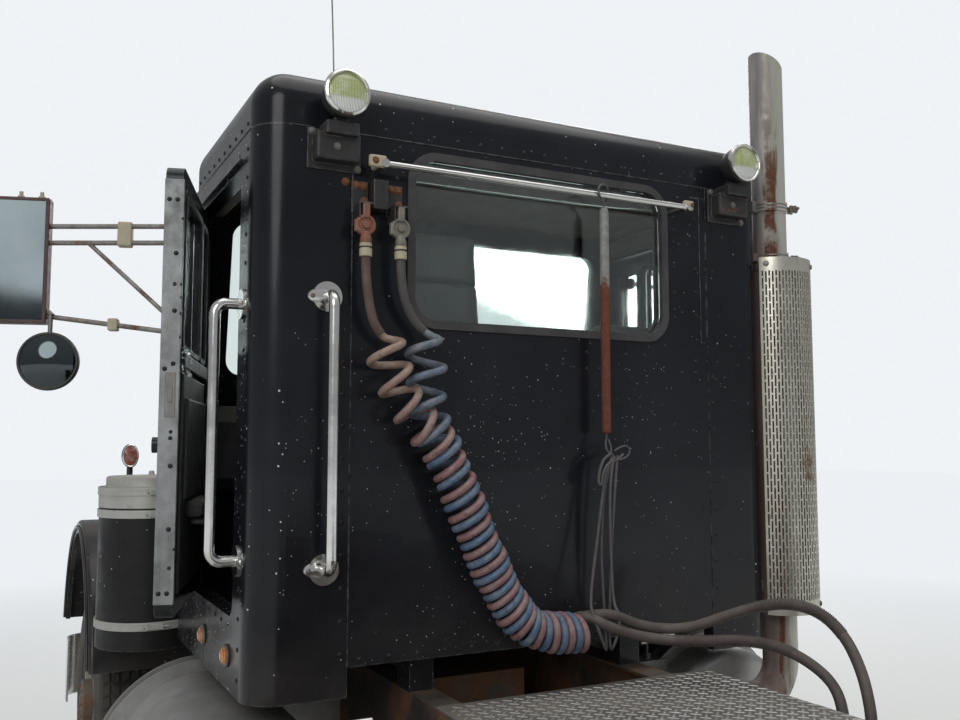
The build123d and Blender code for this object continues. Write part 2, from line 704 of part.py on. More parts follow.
# Fenders: an arched crown over each front wheel with a rolled outer lip
with BuildPart() as fenders:
    for side in (-1, 1):
        arch_parts = (
            # inner x, outer x, inner radius
            (hood_front_width / 2 - 40, fender_outer_x, fender_radius - fender_thick),
            (fender_outer_x - 22, fender_outer_x, fender_radius - fender_lip),
        )
        for inner_x, outer_x, inner_radius in arch_parts:
            with BuildSketch(side_plane(min(side * inner_x, side * outer_x))) as arch:
                with Locations((fender_y, fender_z)):
                    Circle(fender_radius)
                    Circle(inner_radius, mode=Mode.SUBTRACT)
                with Locations((fender_y, fender_end_z - fender_radius)):
                    Rectangle(3 * fender_radius, 2 * fender_radius, mode=Mode.SUBTRACT)
            extrude(amount=outer_x - inner_x)
    outer_edges = fenders.edges().filter_by(GeomType.CIRCLE).filter_by(
        lambda e: abs(abs(e.center().X) - fender_outer_x) < 1 and abs(e.radius - fender_radius) < 1)
    fillet(outer_edges, 18)
    loft([hood_section(cowl_front_y - 100, -seat_clear, fender_end_z - 100),
          hood_section(fender_y + fender_radius + 10, -seat_clear, fender_end_z - 100)],
         mode=Mode.SUBTRACT)
    extrude(hood_section(hood_front_y, -seat_clear, fender_end_z - 100),
            amount=-(fender_y + fender_radius + 10 - hood_front_y), mode=Mode.SUBTRACT)
fenders.part.label = "fenders"
export_step(fenders.part, "parts/fenders.step")

# Grille: a deep surround under the hood's front edge, with upright bars and a cross bar
grille_rim = 42
bar_count = 13
bar_width = 12
with BuildPart() as grille:
    front_section = hood_section(hood_front_y, 0, grille_bottom)
    extrude(front_section, amount=-grille_depth)
    extrude(hood_section(hood_front_y, grille_rim, grille_bottom + grille_rim),
            amount=-grille_depth, mode=Mode.SUBTRACT)
    inner_half = hood_front_width / 2 - grille_rim
    bar_pitch = 2 * inner_half / (bar_count + 1)
    for number in range(bar_count):
        bar_x = -inner_half + (number + 1) * bar_pitch
        with BuildSketch(front_plane(hood_front_y + 20)):
            with Locations((bar_x, (grille_bottom + hood_front_top) / 2)):
                Rectangle(bar_width, hood_front_top - grille_bottom)
        extrude(amount=-30)
    with BuildSketch(front_plane(hood_front_y + 24)):
        with Locations((0, (grille_bottom + hood_front_top) / 2)):
            Rectangle(2 * inner_half + 20, 30)
    extrude(amount=-20)
    extrude(hood_section(hood_front_y, 0, grille_bottom), amount=-grille_depth,
            mode=Mode.INTERSECT)
    for side in (-1, 1):
        block((side * 380, side * 440), (hood_front_y, hood_hinge_y), (grille_bottom, 870))
        crosswise(hood_hinge_y, hood_hinge_z, side * 380, side * 440, 30)
        crosswise(hood_hinge_y, hood_hinge_z, side * 370, side * 450, 16, mode=Mode.SUBTRACT)
grille.part.label = "grille"
export_step(grille.part, "parts/grille.step")

# Lamps that ride on the fenders: a head lamp on the front and a stalk lamp on the crown
lamp_x = 860
lamp_z = 1010
stalk_x = 1000
stalk_y = 2730
crown_z = fender_z + fender_radius
stalk_top = crown_z + 250
with BuildPart() as head_lamps:
    for side in (-1, 1):
        lengthwise(side * lamp_x, lamp_z, fender_y + 480, fender_y + 690, 92)
        fillet(head_lamps.edges().filter_by(GeomType.CIRCLE).group_by(Axis.Y)[-1].filter_by(
            lambda e: e.center().X * side > 0), 12)
        upright(side * stalk_x, stalk_y, crown_z - 60, stalk_top, 14)
        upright(side * stalk_x, stalk_y, crown_z - 60, crown_z + 18, 34)
        with BuildSketch(front_plane(stalk_y - 26)):
            with Locations((side * stalk_x, stalk_top + 52)):
                Ellipse(36, 56)
        extrude(amount=-52)
    crosswise(fender_y, fender_z, -fender_outer_x - 1, fender_outer_x + 1,
              fender_radius + seat_clear, mode=Mode.SUBTRACT)
head_lamps.part.label = "head_lamps"
export_step(head_lamps.part, "parts/head_lamps.step")


# Doors, each drawn in its own frame: x runs back from the hinge, y up, z outward


def door_frame(side, angle):
    """The door's frame, opened by angle degrees; its z points outward on the left side."""
    swing = math.radians(angle)
    return Plane(origin=(side * hinge_x, hinge_y, 0),
                 x_dir=(side * math.sin(swing), -math.cos(swing), 0),
                 z_dir=(-math.cos(swing), -side * math.sin(swing), 0))


def outward(frame, side, distance):
    """The drawing plane that lies at a distance outward from the hinge line."""
    return frame.offset(-side * distance)


def door_point(frame, side, x, z_up, out):
    """A point of the door frame in the vehicle's frame."""
    return frame.from_local_coords(Vector(x, z_up, -side * out))


skin = -hinge_stand
door_front_x = door_gap + 3
door_rear_x = hinge_y - door_rear_y - door_sweep_gap
door_low_z = door_bottom_z + door_gap
door_high_z = door_top_z - door_gap
pane_rear_x = door_rear_x - window_margin
pane_front_x = door_front_x + window_margin
panes = (
    # front x, rear x
    (pane_front_x, vent_bar_x - vent_bar / 2),
    (vent_bar_x + vent_bar / 2, pane_rear_x),
)
window_top_z = door_high_z - window_margin
door_table = (
    # name, side, angle at rest
    ("left", -1, door_ajar),
    ("right", 1, 0),
)
mirror_out = 580
mirror_half = 92
mirror_bottom = 2146
mirror_top = 2600
arm_top_z = 2500
arm_low_z = 2110
arm_x = 98
round_out = 470
round_z = 2012
for name, side, angle in door_table:
    frame = door_frame(side, angle)
    inner = outward(frame, side, skin - door_thick)
    with BuildPart() as door:
        with BuildSketch(inner):
            with Locations(((door_front_x + door_rear_x) / 2, (door_low_z + door_high_z) / 2)):
                RectangleRounded(door_rear_x - door_front_x, door_high_z - door_low_z, 40)
            for front_x, rear_x in panes:
                with Locations(((front_x + rear_x) / 2, (window_bottom_z + window_top_z) / 2)):
                    RectangleRounded(rear_x - front_x, window_top_z - window_bottom_z, 30,
                                     mode=Mode.SUBTRACT)
        extrude(amount=-side * door_thick)
        for hinge_z in (1400, 1885, 2370):
            with BuildSketch(outward(frame, side, skin)):
                with Locations((34, hinge_z + 46)):
                    Rectangle(60, 38)
            extrude(amount=-side * 8)
            upright(side * hinge_x, hinge_y, hinge_z + 27, hinge_z + 65, 10)
            upright(side * hinge_x, hinge_y, hinge_z - 30, hinge_z + 30, 4.5)
        with BuildSketch(outward(frame, side, skin)):
            with Locations((door_rear_x - 90, 1720)):
                RectangleRounded(120, 46, 20)
        extrude(amount=-side * 24)
    door.part.label = f"door_{name}"
    export_step(door.part, f"parts/door_{name}.step")

    with BuildPart() as door_glass:
        with BuildSketch(outward(frame, side, skin - 20)):
            for front_x, rear_x in panes:
                with Locations(((front_x + rear_x) / 2, (window_bottom_z + window_top_z) / 2)):
                    RectangleRounded(rear_x - front_x - 2 * seat_clear,
                                     window_top_z - window_bottom_z - 2 * seat_clear,
                                     30 - seat_clear)
        extrude(amount=side * glass_thick)
    door_glass.part.label = f"door_{name}_glass"
    export_step(door_glass.part, f"parts/door_{name}_glass.step")

    with BuildPart() as mirror:
        with BuildSketch(frame.offset(-side * (mirror_out - mirror_half))):
            with Locations((4, (mirror_bottom + mirror_top) / 2)):
                RectangleRounded(42, mirror_top - mirror_bottom, 18)
        extrude(amount=-side * 2 * mirror_half)
        foot_out = skin + seat_clear
        for z_start, z_end in ((arm_top_z, arm_top_z), (arm_top_z - 60, arm_top_z - 60),
                               (arm_low_z, mirror_bottom + 30)):
            rod(door_point(frame, side, arm_x, z_start, foot_out + 8),
                door_point(frame, side, 8, z_end, mirror_out - mirror_half + 10), 9)
            rod(door_point(frame, side, arm_x, z_start, foot_out),
                door_point(frame, side, arm_x, z_start, foot_out + 10), 26)
        rod(door_point(frame, side, arm_x, arm_low_z + 6, foot_out + 12),
            door_point(frame, side, 30, arm_top_z - 60, mirror_out - 230), 8)
        round_base = door_point(frame, side, 18, round_z, round_out)
        rod(round_base, door_point(frame, side, 18 + 26, round_z, round_out), 102)
        rod(door_point(frame, side, 26, round_z + 40, round_out),
            door_point(frame, side, 26, mirror_bottom + 30, round_out), 8)
        rod(door_point(frame, side, 26, mirror_bottom + 30, round_out - 6),
            door_point(frame, side, 8, mirror_bottom + 60, mirror_out - mirror_half + 10), 8)
    mirror.part.label = f"mirror_{name}"
    export_step(mirror.part, f"parts/mirror_{name}.step")

# Steering knuckles: a yoke round the axle eye, the spindle and a steering arm to the rear
knuckle_arm = 22
front_hub_inner = front_track_half - 74
backing_outer = front_hub_inner - drum_gap
spindle_end = 1120
for name, side in (("left", -1), ("right", 1)):
    with BuildPart() as knuckle:
        upright(side * kingpin_x, front_axle_y, axle_z - eye_half - 45, axle_z + eye_half + 45,
                kingpin_radius)
        for yoke_z in (axle_z + eye_half + 5, axle_z - eye_half - 5 - 40):
            upright(side * kingpin_x, front_axle_y, yoke_z, yoke_z + 40, 48)
            block((side * kingpin_x, side * backing_outer),
                  (front_axle_y - 44, front_axle_y + 44), (yoke_z, yoke_z + 40))
        block((side * (kingpin_x + 52), side * backing_outer),
              (front_axle_y - 44, front_axle_y + 44),
              (axle_z - eye_half - 45, axle_z + eye_half + 45))
        crosswise(front_axle_y, axle_z, side * (backing_outer - 8), side * backing_outer,
                  backing_radius)
        crosswise(front_axle_y, axle_z, side * (backing_outer - 1), side * spindle_end,
                  spindle_radius)
        block((side * (kingpin_x - 24), side * (kingpin_x + 24)),
              (front_axle_y - steer_arm - 24, front_axle_y - 30),
              (axle_z - eye_half - 45, axle_z - eye_half - 45 + knuckle_arm))
        upright(side * kingpin_x, front_axle_y - steer_arm, tie_rod_z - 30,
                axle_z - eye_half - 45 + 1, 11)
    knuckle.part.label = f"knuckle_{name}"
    export_step(knuckle.part, f"parts/knuckle_{name}.step")

with BuildPart() as tie_rod:
    crosswise(front_axle_y - steer_arm, tie_rod_z - 45, -kingpin_x + 20, kingpin_x - 20, 19)
    for side in (-1, 1):
        upright(side * kingpin_x, front_axle_y - steer_arm, tie_rod_z - 66, tie_rod_z - 24, 28)
        upright(side * kingpin_x, front_axle_y - steer_arm, tie_rod_z - 32, tie_rod_z - 23, 12,
                mode=Mode.SUBTRACT)
tie_rod.part.label = "tie_rod"
export_step(tie_rod.part, "parts/tie_rod.step")

# Tyres and rims. A wheel table row is a body: its name, its axle, and the centre of each tyre.
tread_half = 122
bead_half = rim_width / 2 - seat_clear
flange_radius = rim_radius + 20
disc_thick = 12
hand_holes = 5
wheel_table = (
    # name, axle y, side, tyre centres
    ("front_left", front_axle_y, -1, (front_track_half,)),
    ("front_right", front_axle_y, 1, (front_track_half,)),
    ("drive_1_left", drive_axle_ys[0], -1, dual_offsets),
    ("drive_1_right", drive_axle_ys[0], 1, dual_offsets),
    ("drive_2_left", drive_axle_ys[1], -1, dual_offsets),
    ("drive_2_right", drive_axle_ys[1], 1, dual_offsets),
)


def wheel_profile(points, x_centre, side):
    """A closed outline in the plane through the axle, its x outboard from x_centre."""
    return [(side * (x_centre + x), z) for x, z in points]


for name, axle_y, side, centres in wheel_table:
    twin = len(centres) == 2
    spin_axis = Axis((0, axle_y, axle_z), (1, 0, 0))
    section_plane = Plane(origin=(0, axle_y, axle_z), x_dir=(1, 0, 0), z_dir=(0, -1, 0))
    with BuildPart() as tyre:
        for centre in centres:
            half_outline = (
                (bead_half, rim_radius + seat_clear), (bead_half, flange_radius + 1),
                (tyre_width / 2, 410), (tread_half + 6, tyre_radius - 18),
                (tread_half - 8, tyre_radius),
            )
            mirrored = tuple((-x, z) for x, z in reversed(half_outline))
            with BuildSketch(section_plane):
                with BuildLine():
                    Polyline(*wheel_profile(half_outline + mirrored, centre, side), close=True)
                make_face()
            revolve(axis=spin_axis)
    tyre.part.label = f"tyre_{name}"
    export_step(tyre.part, f"parts/tyre_{name}.step")

    with BuildPart() as rim:
        hub_start = hub_inner_x if twin else front_hub_inner
        hub_end = centres[-1] + 90 if twin else centres[0] + 150
        for centre in centres:
            barrel = (
                (-rim_width / 2, rim_radius), (-rim_width / 2, flange_radius),
                (-rim_width / 2 - 8, flange_radius), (-rim_width / 2 - 8, rim_radius - 12),
                (rim_width / 2 + 8, rim_radius - 12), (rim_width / 2 + 8, flange_radius),
                (rim_width / 2, flange_radius), (rim_width / 2, rim_radius),
            )
            with BuildSketch(section_plane):
                with BuildLine():
                    Polyline(*wheel_profile(barrel, centre, side), close=True)
                make_face()
            revolve(axis=spin_axis)
        if twin:
            middle = sum(centres) / 2
            discs = ((centres[0] + 95, middle - disc_thick), (centres[1] - 95, middle))
        else:
            discs = ((centres[0] + 20, centres[0] + 70),)
        for rim_x, face_x in discs:
            disc = (
                (rim_x, rim_radius - 11), (face_x, 205), (face_x, hub_radius - 2),
                (face_x + disc_thick, hub_radius - 2), (face_x + disc_thick, 205),
                (rim_x + disc_thick, rim_radius - 11),
            )
            with BuildSketch(section_plane):
                with BuildLine():
                    Polyline(*wheel_profile(disc, 0, side), close=True)
                make_face()
            revolve(axis=spin_axis)
        hub_face = discs[-1][1] + disc_thick
        crosswise(axle_y, axle_z, side * hub_start, side * hub_end, hub_radius)
        drum_end = hub_start + 110
        drum = (
            (hub_start, 204), (hub_start, 190), (drum_end - 12, 190), (drum_end - 12, hub_radius - 2),
            (drum_end, hub_radius - 2), (drum_end, 204),
        )
        with BuildSketch(section_plane):
            with BuildLine():
                Polyline(*wheel_profile(drum, 0, side), close=True)
            make_face()
        revolve(axis=spin_axis)
        crosswise(axle_y, axle_z, side * (hub_start - 1), side * (1120 + 12), spindle_radius + 1,
                  mode=Mode.SUBTRACT)
        hole_plane = Plane(origin=(side * (hub_face - 150), axle_y, axle_z), x_dir=(0, 1, 0),
                           z_dir=(1, 0, 0))
        with BuildSketch(hole_plane):
            with PolarLocations(165, hand_holes):
                Circle(30)
        extrude(amount=side * 190, mode=Mode.SUBTRACT)
    rim.part.label = f"rim_{name}"
    export_step(rim.part, f"parts/rim_{name}.step")

# Fifth wheel: a rimmed plate with a tapered throat to the kingpin bore, on two pivot lugs
plate_top_z = 1200
plate_thick = 44
plate_half = 460
pin_bore = 25.4
throat_half = 190
fifth_pivot_z = 1110
lug_in = 290
lug_out = 345
with BuildPart() as fifth_wheel:
    with BuildSketch(Plane.XY.offset(plate_top_z - plate_thick)):
        with Locations((0, fifth_wheel_y)):
            Circle(plate_half)
        with Locations((0, fifth_wheel_y - 210)):
            Rectangle(2 * plate_half - 80, 420)
        with BuildLine():
            Polyline((-pin_bore, fifth_wheel_y), (-pin_bore, fifth_wheel_y - 130),
                     (-throat_half, fifth_wheel_y - 600), (throat_half, fifth_wheel_y - 600),
                     (pin_bore, fifth_wheel_y - 130), (pin_bore, fifth_wheel_y), close=True)
        make_face(mode=Mode.SUBTRACT)
        with Locations((0, fifth_wheel_y)):
            Circle(pin_bore, mode=Mode.SUBTRACT)
    extrude(amount=plate_thick)
    for side in (-1, 1):
        block((side * lug_in, side * lug_out), (fifth_wheel_y - 70, fifth_wheel_y + 70),
              (fifth_pivot_z, plate_top_z - plate_thick))
        crosswise(fifth_wheel_y, fifth_pivot_z, side * lug_in, side * lug_out, 40)
        crosswise(fifth_wheel_y, fifth_pivot_z, side * lug_out, side * (lug_out + 42), 24)
fifth_wheel.part.label = "fifth_wheel"
export_step(fifth_wheel.part, "parts/fifth_wheel.step")

with BuildPart() as fifth_wheel_base:
    block((-rail_outer, rail_outer), (fifth_wheel_y - 190, fifth_wheel_y + 190),
          (frame_top, frame_top + 20))
    for side in (-1, 1):
        with BuildSketch(side_plane(min(side * (lug_out + 5), side * (lug_out + 45)))):
            with BuildLine():
                Polyline((fifth_wheel_y - 150, frame_top + 19), (fifth_wheel_y + 150, frame_top + 19),
                         (fifth_wheel_y + 42, fifth_pivot_z), (fifth_wheel_y - 42, fifth_pivot_z),
                         close=True)
            make_face()
        extrude(amount=40)
        crosswise(fifth_wheel_y, fifth_pivot_z, side * (lug_out + 5), side * (lug_out + 45), 42)
        crosswise(fifth_wheel_y, fifth_pivot_z, side * (lug_out + 4), side * (lug_out + 46), 24.5,
                  mode=Mode.SUBTRACT)
fifth_wheel_base.part.label = "fifth_wheel_base"
export_step(fifth_wheel_base.part, "parts/fifth_wheel_base.step")

# Mud flaps on a cross bar behind the rear wheels, with the tail lamps between them
flap_y = -3470
with BuildPart() as tail_bar:
    block((-1210, 1210), (flap_y - 30, flap_y + 30), (900, 950))
    for side in (-1, 1):
        block((side * 620, side * 1200), (flap_y - 6, flap_y + 6), (280, 901))
        block((side * (rail_outer - rail_flange), side * rail_outer), (flap_y + 29, rail_rear_y),
              (880, 950))
        for lamp_inner in (200, 330):
            block((side * lamp_inner, side * (lamp_inner + 110)), (flap_y - 80, flap_y - 29),
                  (880, 950))
tail_bar.part.label = "tail_bar"
export_step(tail_bar.part, "parts/tail_bar.step")

# Bars on the cab: a grab handle on the back, one on the side behind the left door, and the
# bright bar that stands off the back across the top of the rear window
bar_z = 2545
bar_stand = 60
bar_radius = 10
bar_left = -rear_window_half - 111
bar_right = rear_window_half + 60
handle_radius = 16
back_handle_x = -(cab_half - 208)
side_handle_y = cab_back_y + 145
with BuildPart() as cab_bars:
    for low_z, high_z, foot, reach in (
            (1370, 2147, (back_handle_x, cab_back_y), (0, -70)),
            (1390, 2130, (-cab_half, side_handle_y), (-80, 0))):
        grip = (foot[0] + reach[0], foot[1] + reach[1])
        bent_bar([(foot[0], foot[1], low_z), (grip[0], grip[1], low_z),
                  (grip[0], grip[1], high_z), (foot[0], foot[1], high_z)], 34, handle_radius)
        for foot_z in (low_z, high_z):
            rod((foot[0], foot[1], foot_z),
                (foot[0] + reach[0] / 9, foot[1] + reach[1] / 9, foot_z), 44)
    crosswise(cab_back_y - bar_stand, bar_z, bar_left, bar_right, bar_radius)
    for end_x in (bar_left, bar_right):
        lengthwise(end_x, bar_z, cab_back_y - bar_stand - 12, cab_back_y, 13)
cab_bars.part.label = "cab_bars"
export_step(cab_bars.part, "parts/cab_bars.step")

# Lamps on the cab: a work lamp at each top corner of the back on its bracket, five markers
# along the roof's front and two low on each side
work_lamp_z = 2730
with BuildPart() as cab_lamps:
    for lamp_centre in (-(cab_half - 250), cab_half - 180):
        lengthwise(lamp_centre, work_lamp_z, cab_back_y - 118, cab_back_y - 50, 65)
        block((lamp_centre - 22, lamp_centre + 22), (cab_back_y - 70, cab_back_y),
              (2600, 2612))
        block((lamp_centre - 22, lamp_centre + 22), (cab_back_y - 80, cab_back_y - 68),
              (2600, 2680))
    for marker_x in (-700, -350, 0, 350, 700):
        with Locations((marker_x, roof_front_y - 150, roof_top_z + 14)):
            Box(90, 60, 28)
    for side in (-1, 1):
        for marker_y in (cab_back_y + 252, cab_back_y + 594):
            crosswise(marker_y, 1105, side * cab_half, side * (cab_half + 22), 30)
cab_lamps.part.label = "cab_lamps"
export_step(cab_lamps.part, "parts/cab_lamps.step")

# Two air outlets high on the cab back, each an elbow block on a bracket with a ferrule below
outlet_y = 468
outlet_z = 2410
ferrule_z = 2300
outlet_xs = (-(panel_seam_x - 20), -(panel_seam_x - 129))
with BuildPart() as air_outlets:
    for outlet_x in outlet_xs:
        block((outlet_x - 26, outlet_x + 26), (outlet_y - 30, cab_back_y - 6),
              (outlet_z - 28, outlet_z + 28))
        block((outlet_x - 34, outlet_x + 34), (cab_back_y - 6, cab_back_y),
              (outlet_z - 50, outlet_z + 90))
        upright(outlet_x, outlet_y, ferrule_z + 40, outlet_z - 27, 19)
        upright(outlet_x, outlet_y, ferrule_z, ferrule_z + 41, 15)
air_outlets.part.label = "air_outlets"
export_step(air_outlets.part, "parts/air_outlets.step")

# Hose tender: a ring over the bright bar, a spring tube, an eye at its foot, and the rubber
# strap that hangs from the eye and carries the two hose tails in its loop
hose_radius = 12.5
tail_z = 1137
tail_apart = 16
strap_x = 150
strap_y = 440
strap_half = 24
strap_tube = 5
strap_low = tail_z - tail_apart - hose_radius - strap_tube - seat_clear
tender_x = 206
tender_y = cab_back_y - bar_stand
tender_top = 2493
tender_foot = 1766
eye_foot = tender_foot - 16 - 13
with BuildPart() as hose_tender:
    crosswise(tender_y, bar_z - 14, tender_x - 4, tender_x + 4, 29)
    crosswise(tender_y, bar_z - 14, tender_x - 5, tender_x + 5, 24.3, mode=Mode.SUBTRACT)
    upright(tender_x, tender_y, tender_top, bar_z - 14 - 24.5, 6)
    upright(tender_x, tender_y, tender_foot, tender_top, 16)
    crosswise(tender_y, tender_foot - 16, tender_x - 4, tender_x + 4, 19)
    crosswise(tender_y, tender_foot - 16, tender_x - 5, tender_x + 5, 13, mode=Mode.SUBTRACT)
    bent_bar([(tender_x - 12, tender_y + 4, eye_foot + 5), (strap_x, strap_y + strap_half, 1176),
              (strap_x, strap_y + strap_half, strap_low), (strap_x, strap_y - strap_half, strap_low),
              (strap_x, strap_y - strap_half, 1176), (tender_x - 12, tender_y - 8, eye_foot + 5)],
             strap_half - 2, strap_tube)
    crosswise(tender_y - 2, eye_foot + 5, tender_x - 18, tender_x + 10, 8)
hose_tender.part.label = "hose_tender"
export_step(hose_tender.part, "parts/hose_tender.step")

# Air hoses. Each route is a list of chosen points, its bends as large as the two runs allow.
coil_radius = 65
gladhand_x = 600
gladhand_top = 880
hose_routes = (
    # name, tube radius, points from the outlet or the coil
    ("hose_red_upper", hose_radius,
     [(-648, 468, 2300), (-648, 468, 2222), (-636, 458, 2135), (-593.15, 440, 2045.52),
      (-573.41, 440, 1973.16)]),
    ("hose_blue_upper", hose_radius,
     [(-539, 468, 2300), (-539, 468, 2225), (-527, 456, 2148), (-506.32, 440, 2069.2),
      (-486.59, 440, 1996.84)]),
    ("hose_coils", coil_radius,
     [(-530, 440, 1985), (-500, 440, 1875), (-425, 442, 1735), (-305, 438, 1460),
      (-205, 440, 1245), (-85, 440, tail_z), (112, 440, tail_z)]),
    ("hose_red_lower", hose_radius,
     [(112, 440, tail_z + tail_apart), (210, 440, tail_z + tail_apart), (300, 372, 1146),
      (385, 300, 1150), (452, 250, 1182), (520, 190, 1216), (590, 105, 1242), (645, 25, 1222),
      (664, -50, 1160), (650, -115, 1080), (622, -162, 1012), (600, -190, 952),
      (600, -190, 880)]),
    ("hose_blue_lower", hose_radius,
     [(112, 440, tail_z - tail_apart), (208, 440, tail_z - tail_apart), (300, 366, 1111),
      (400, 270, 1112), (487, 195, 1122), (560, 125, 1112), (606, 50, 1080), (622, -40, 1030),
      (600, -95, 960), (600, -95, 880)]),
)


def bend_radii(points):
    """The radius of each bend: 0.45 of its shorter run over the tangent of half its turn."""
    radii = []
    for before, here, after in zip(points, points[1:], points[2:]):
        arriving = Vector(*here) - Vector(*before)
        leaving = Vector(*after) - Vector(*here)
        turn = math.radians(arriving.get_angle(leaving))
        radii.append(0.45 * min(arriving.length, leaving.length) / math.tan(turn / 2))
    return radii


for name, tube_radius, points in hose_routes:
    radii = bend_radii(points)
    with BuildPart() as hose:
        with BuildLine() as route:
            FilletPolyline(*points, radius=radii)
        with BuildSketch(Plane(origin=points[0], z_dir=route.line % 0)) as section:
            Circle(tube_radius)
        sweep(section.sketch, path=route.line)
    route_length = sum(edge.length for edge in route.line.edges())
    expected = math.pi * tube_radius ** 2 * route_length
    print(name, "radii", [round(r) for r in radii],
          "volume over section times length", round(hose.part.volume / expected, 4))
    hose.part.label = name
    export_step(hose.part, f"parts/{name}.step")

# Gladhands at the hose tails, parked against the deck plate's tongue
with BuildPart() as gladhands:
    for gladhand_y in gladhand_ys:
        upright(gladhand_x, gladhand_y, gladhand_top - 30, gladhand_top, 15)
        crosswise(gladhand_y, gladhand_top - 60, tongue_x + seat_clear, gladhand_x + 14, 40)
gladhands.part.label = "gladhands"
export_step(gladhands.part, "parts/gladhands.step")
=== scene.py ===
import math

import bpy
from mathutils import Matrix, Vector


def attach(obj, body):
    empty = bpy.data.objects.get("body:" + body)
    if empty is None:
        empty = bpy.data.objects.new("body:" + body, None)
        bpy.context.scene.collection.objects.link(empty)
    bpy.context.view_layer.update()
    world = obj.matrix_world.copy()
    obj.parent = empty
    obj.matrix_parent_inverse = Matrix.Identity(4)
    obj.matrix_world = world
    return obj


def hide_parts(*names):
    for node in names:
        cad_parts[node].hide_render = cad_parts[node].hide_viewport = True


bl_info = {
    "name": "Weathered Tractor Unit",
    "version": (1, 0, 0),
    "blender": (4, 5, 0),
    "location": "View3D > Sidebar > Tractor",
    "description": "Dresses a packed tractor unit with its finishes, fittings, hoses and stage",
    "category": "Object",
}

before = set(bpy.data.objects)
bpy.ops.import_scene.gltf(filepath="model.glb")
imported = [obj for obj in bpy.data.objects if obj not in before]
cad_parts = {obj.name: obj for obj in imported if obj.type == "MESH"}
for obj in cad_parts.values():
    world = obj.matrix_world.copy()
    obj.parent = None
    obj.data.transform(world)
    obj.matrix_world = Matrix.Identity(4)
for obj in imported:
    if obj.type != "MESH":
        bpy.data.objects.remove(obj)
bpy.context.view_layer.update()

# Places of the truck in metres: +X is its right side, +Y its front, +Z up
CAB_BACK = 0.53
CAB_SIDE = 0.95
CAB_FRONT = 1.6
ROOF_SEAM = 2.643
AXLE_HEIGHT = 0.525
FRONT_AXLE = 2.8
DRIVE_AXLES = (-1.49, -2.81)
STACK = (1.04, 0.595)
RAIL_OUTER = 0.43

ORIGIN = (0, 0, 0)
RIGHT, LEFT = (1, 0, 0), (-1, 0, 0)
AHEAD, BACK = (0, 1, 0), (0, -1, 0)
UP = (0, 0, 1)
SIDES = (-1, 1)

FINISHES = {}
GROUPS = {}


# Settings that a user would change


class TractorHoseSettings(bpy.types.PropertyGroup):
    diameter: bpy.props.FloatProperty(
        name="Hose diameter", description="Outer diameter of each air hose",
        default=0.0235, min=0.01, max=0.04, unit="LENGTH")
    coil_radius: bpy.props.FloatProperty(
        name="Coil radius", description="Radius of the coils, to the middle of the hose",
        default=0.0515, min=0.03, max=0.08, unit="LENGTH")
    top_pitch: bpy.props.FloatProperty(
        name="Pitch at the top", description="Rise of one turn where the coils hang stretched",
        default=0.084, min=0.05, max=0.2, unit="LENGTH")
    low_pitch: bpy.props.FloatProperty(
        name="Pitch at the bottom", description="Rise of one turn where the coils lie closed",
        default=0.0535, min=0.05, max=0.2, unit="LENGTH")
    red: bpy.props.FloatVectorProperty(
        name="Red hose", description="Colour of the emergency line", subtype="COLOR", size=4,
        default=(0.25, 0.125, 0.125, 1), min=0, max=1)
    blue: bpy.props.FloatVectorProperty(
        name="Blue hose", description="Colour of the service line", subtype="COLOR", size=4,
        default=(0.075, 0.135, 0.225, 1), min=0, max=1)


class TractorPaintSettings(bpy.types.PropertyGroup):
    paint: bpy.props.FloatVectorProperty(
        name="Cab paint", description="Colour of the cab's old black paint", subtype="COLOR",
        size=4, default=(0.006, 0.0065, 0.009, 1), min=0, max=1)
    faded: bpy.props.FloatVectorProperty(
        name="Faded paint", description="Colour that the sun has turned the paint", size=4,
        subtype="COLOR", default=(0.02, 0.021, 0.026, 1), min=0, max=1)
    chips: bpy.props.FloatProperty(
        name="Stone chips", description="How many small chips the paint has",
        default=0.5, min=0, max=1, subtype="FACTOR")
    dust: bpy.props.FloatVectorProperty(
        name="Dust", description="Colour of the road dust", subtype="COLOR", size=4,
        default=(0.21, 0.18, 0.14, 1), min=0, max=1)
    rust: bpy.props.FloatVectorProperty(
        name="Rust", description="Main colour of the rust", subtype="COLOR", size=4,
        default=(0.18, 0.065, 0.025, 1), min=0, max=1)


class TractorStageSettings(bpy.types.PropertyGroup):
    floor: bpy.props.FloatVectorProperty(
        name="Floor", description="Colour of the pale floor", subtype="COLOR", size=4,
        default=(0.72, 0.72, 0.7, 1), min=0, max=1)
    sky: bpy.props.FloatProperty(
        name="Room light", description="Strength of the light from all round",
        default=0.45, min=0, max=2)
    key: bpy.props.FloatProperty(
        name="Key light", description="Power of the large lamp behind the camera",
        default=330, min=0, max=5000, unit="POWER")


# Working steps in Blender


def start_fresh():
    leave_edit()
    bpy.ops.object.select_all(action="DESELECT")


def pick(*pieces):
    start_fresh()
    for piece in pieces:
        piece.select_set(True)
    bpy.context.view_layer.objects.active = pieces[0]


def edit(piece):
    """Goes into edit mode with the whole piece selected."""
    pick(piece)
    bpy.ops.object.mode_set(mode="EDIT")
    select_whole()


def select_whole():
    bpy.ops.mesh.select_all(action="SELECT")


def leave_edit():
    if bpy.context.object and bpy.context.object.mode != "OBJECT":
        bpy.ops.object.mode_set(mode="OBJECT")


def extrude(move):
    bpy.ops.mesh.extrude_region_move(TRANSFORM_OT_translate={"value": move})


def settle(piece):
    """Leaves the piece at the origin with its place in its mesh."""
    pick(piece)
    bpy.ops.object.transform_apply(location=True, rotation=True, scale=True)
    return piece


def placed(piece, at=ORIGIN, turn=ORIGIN):
    """Turns a piece about the origin by degrees, then moves it."""
    piece.rotation_euler = [math.radians(angle) for angle in turn]
    piece.location = at
    return settle(piece)


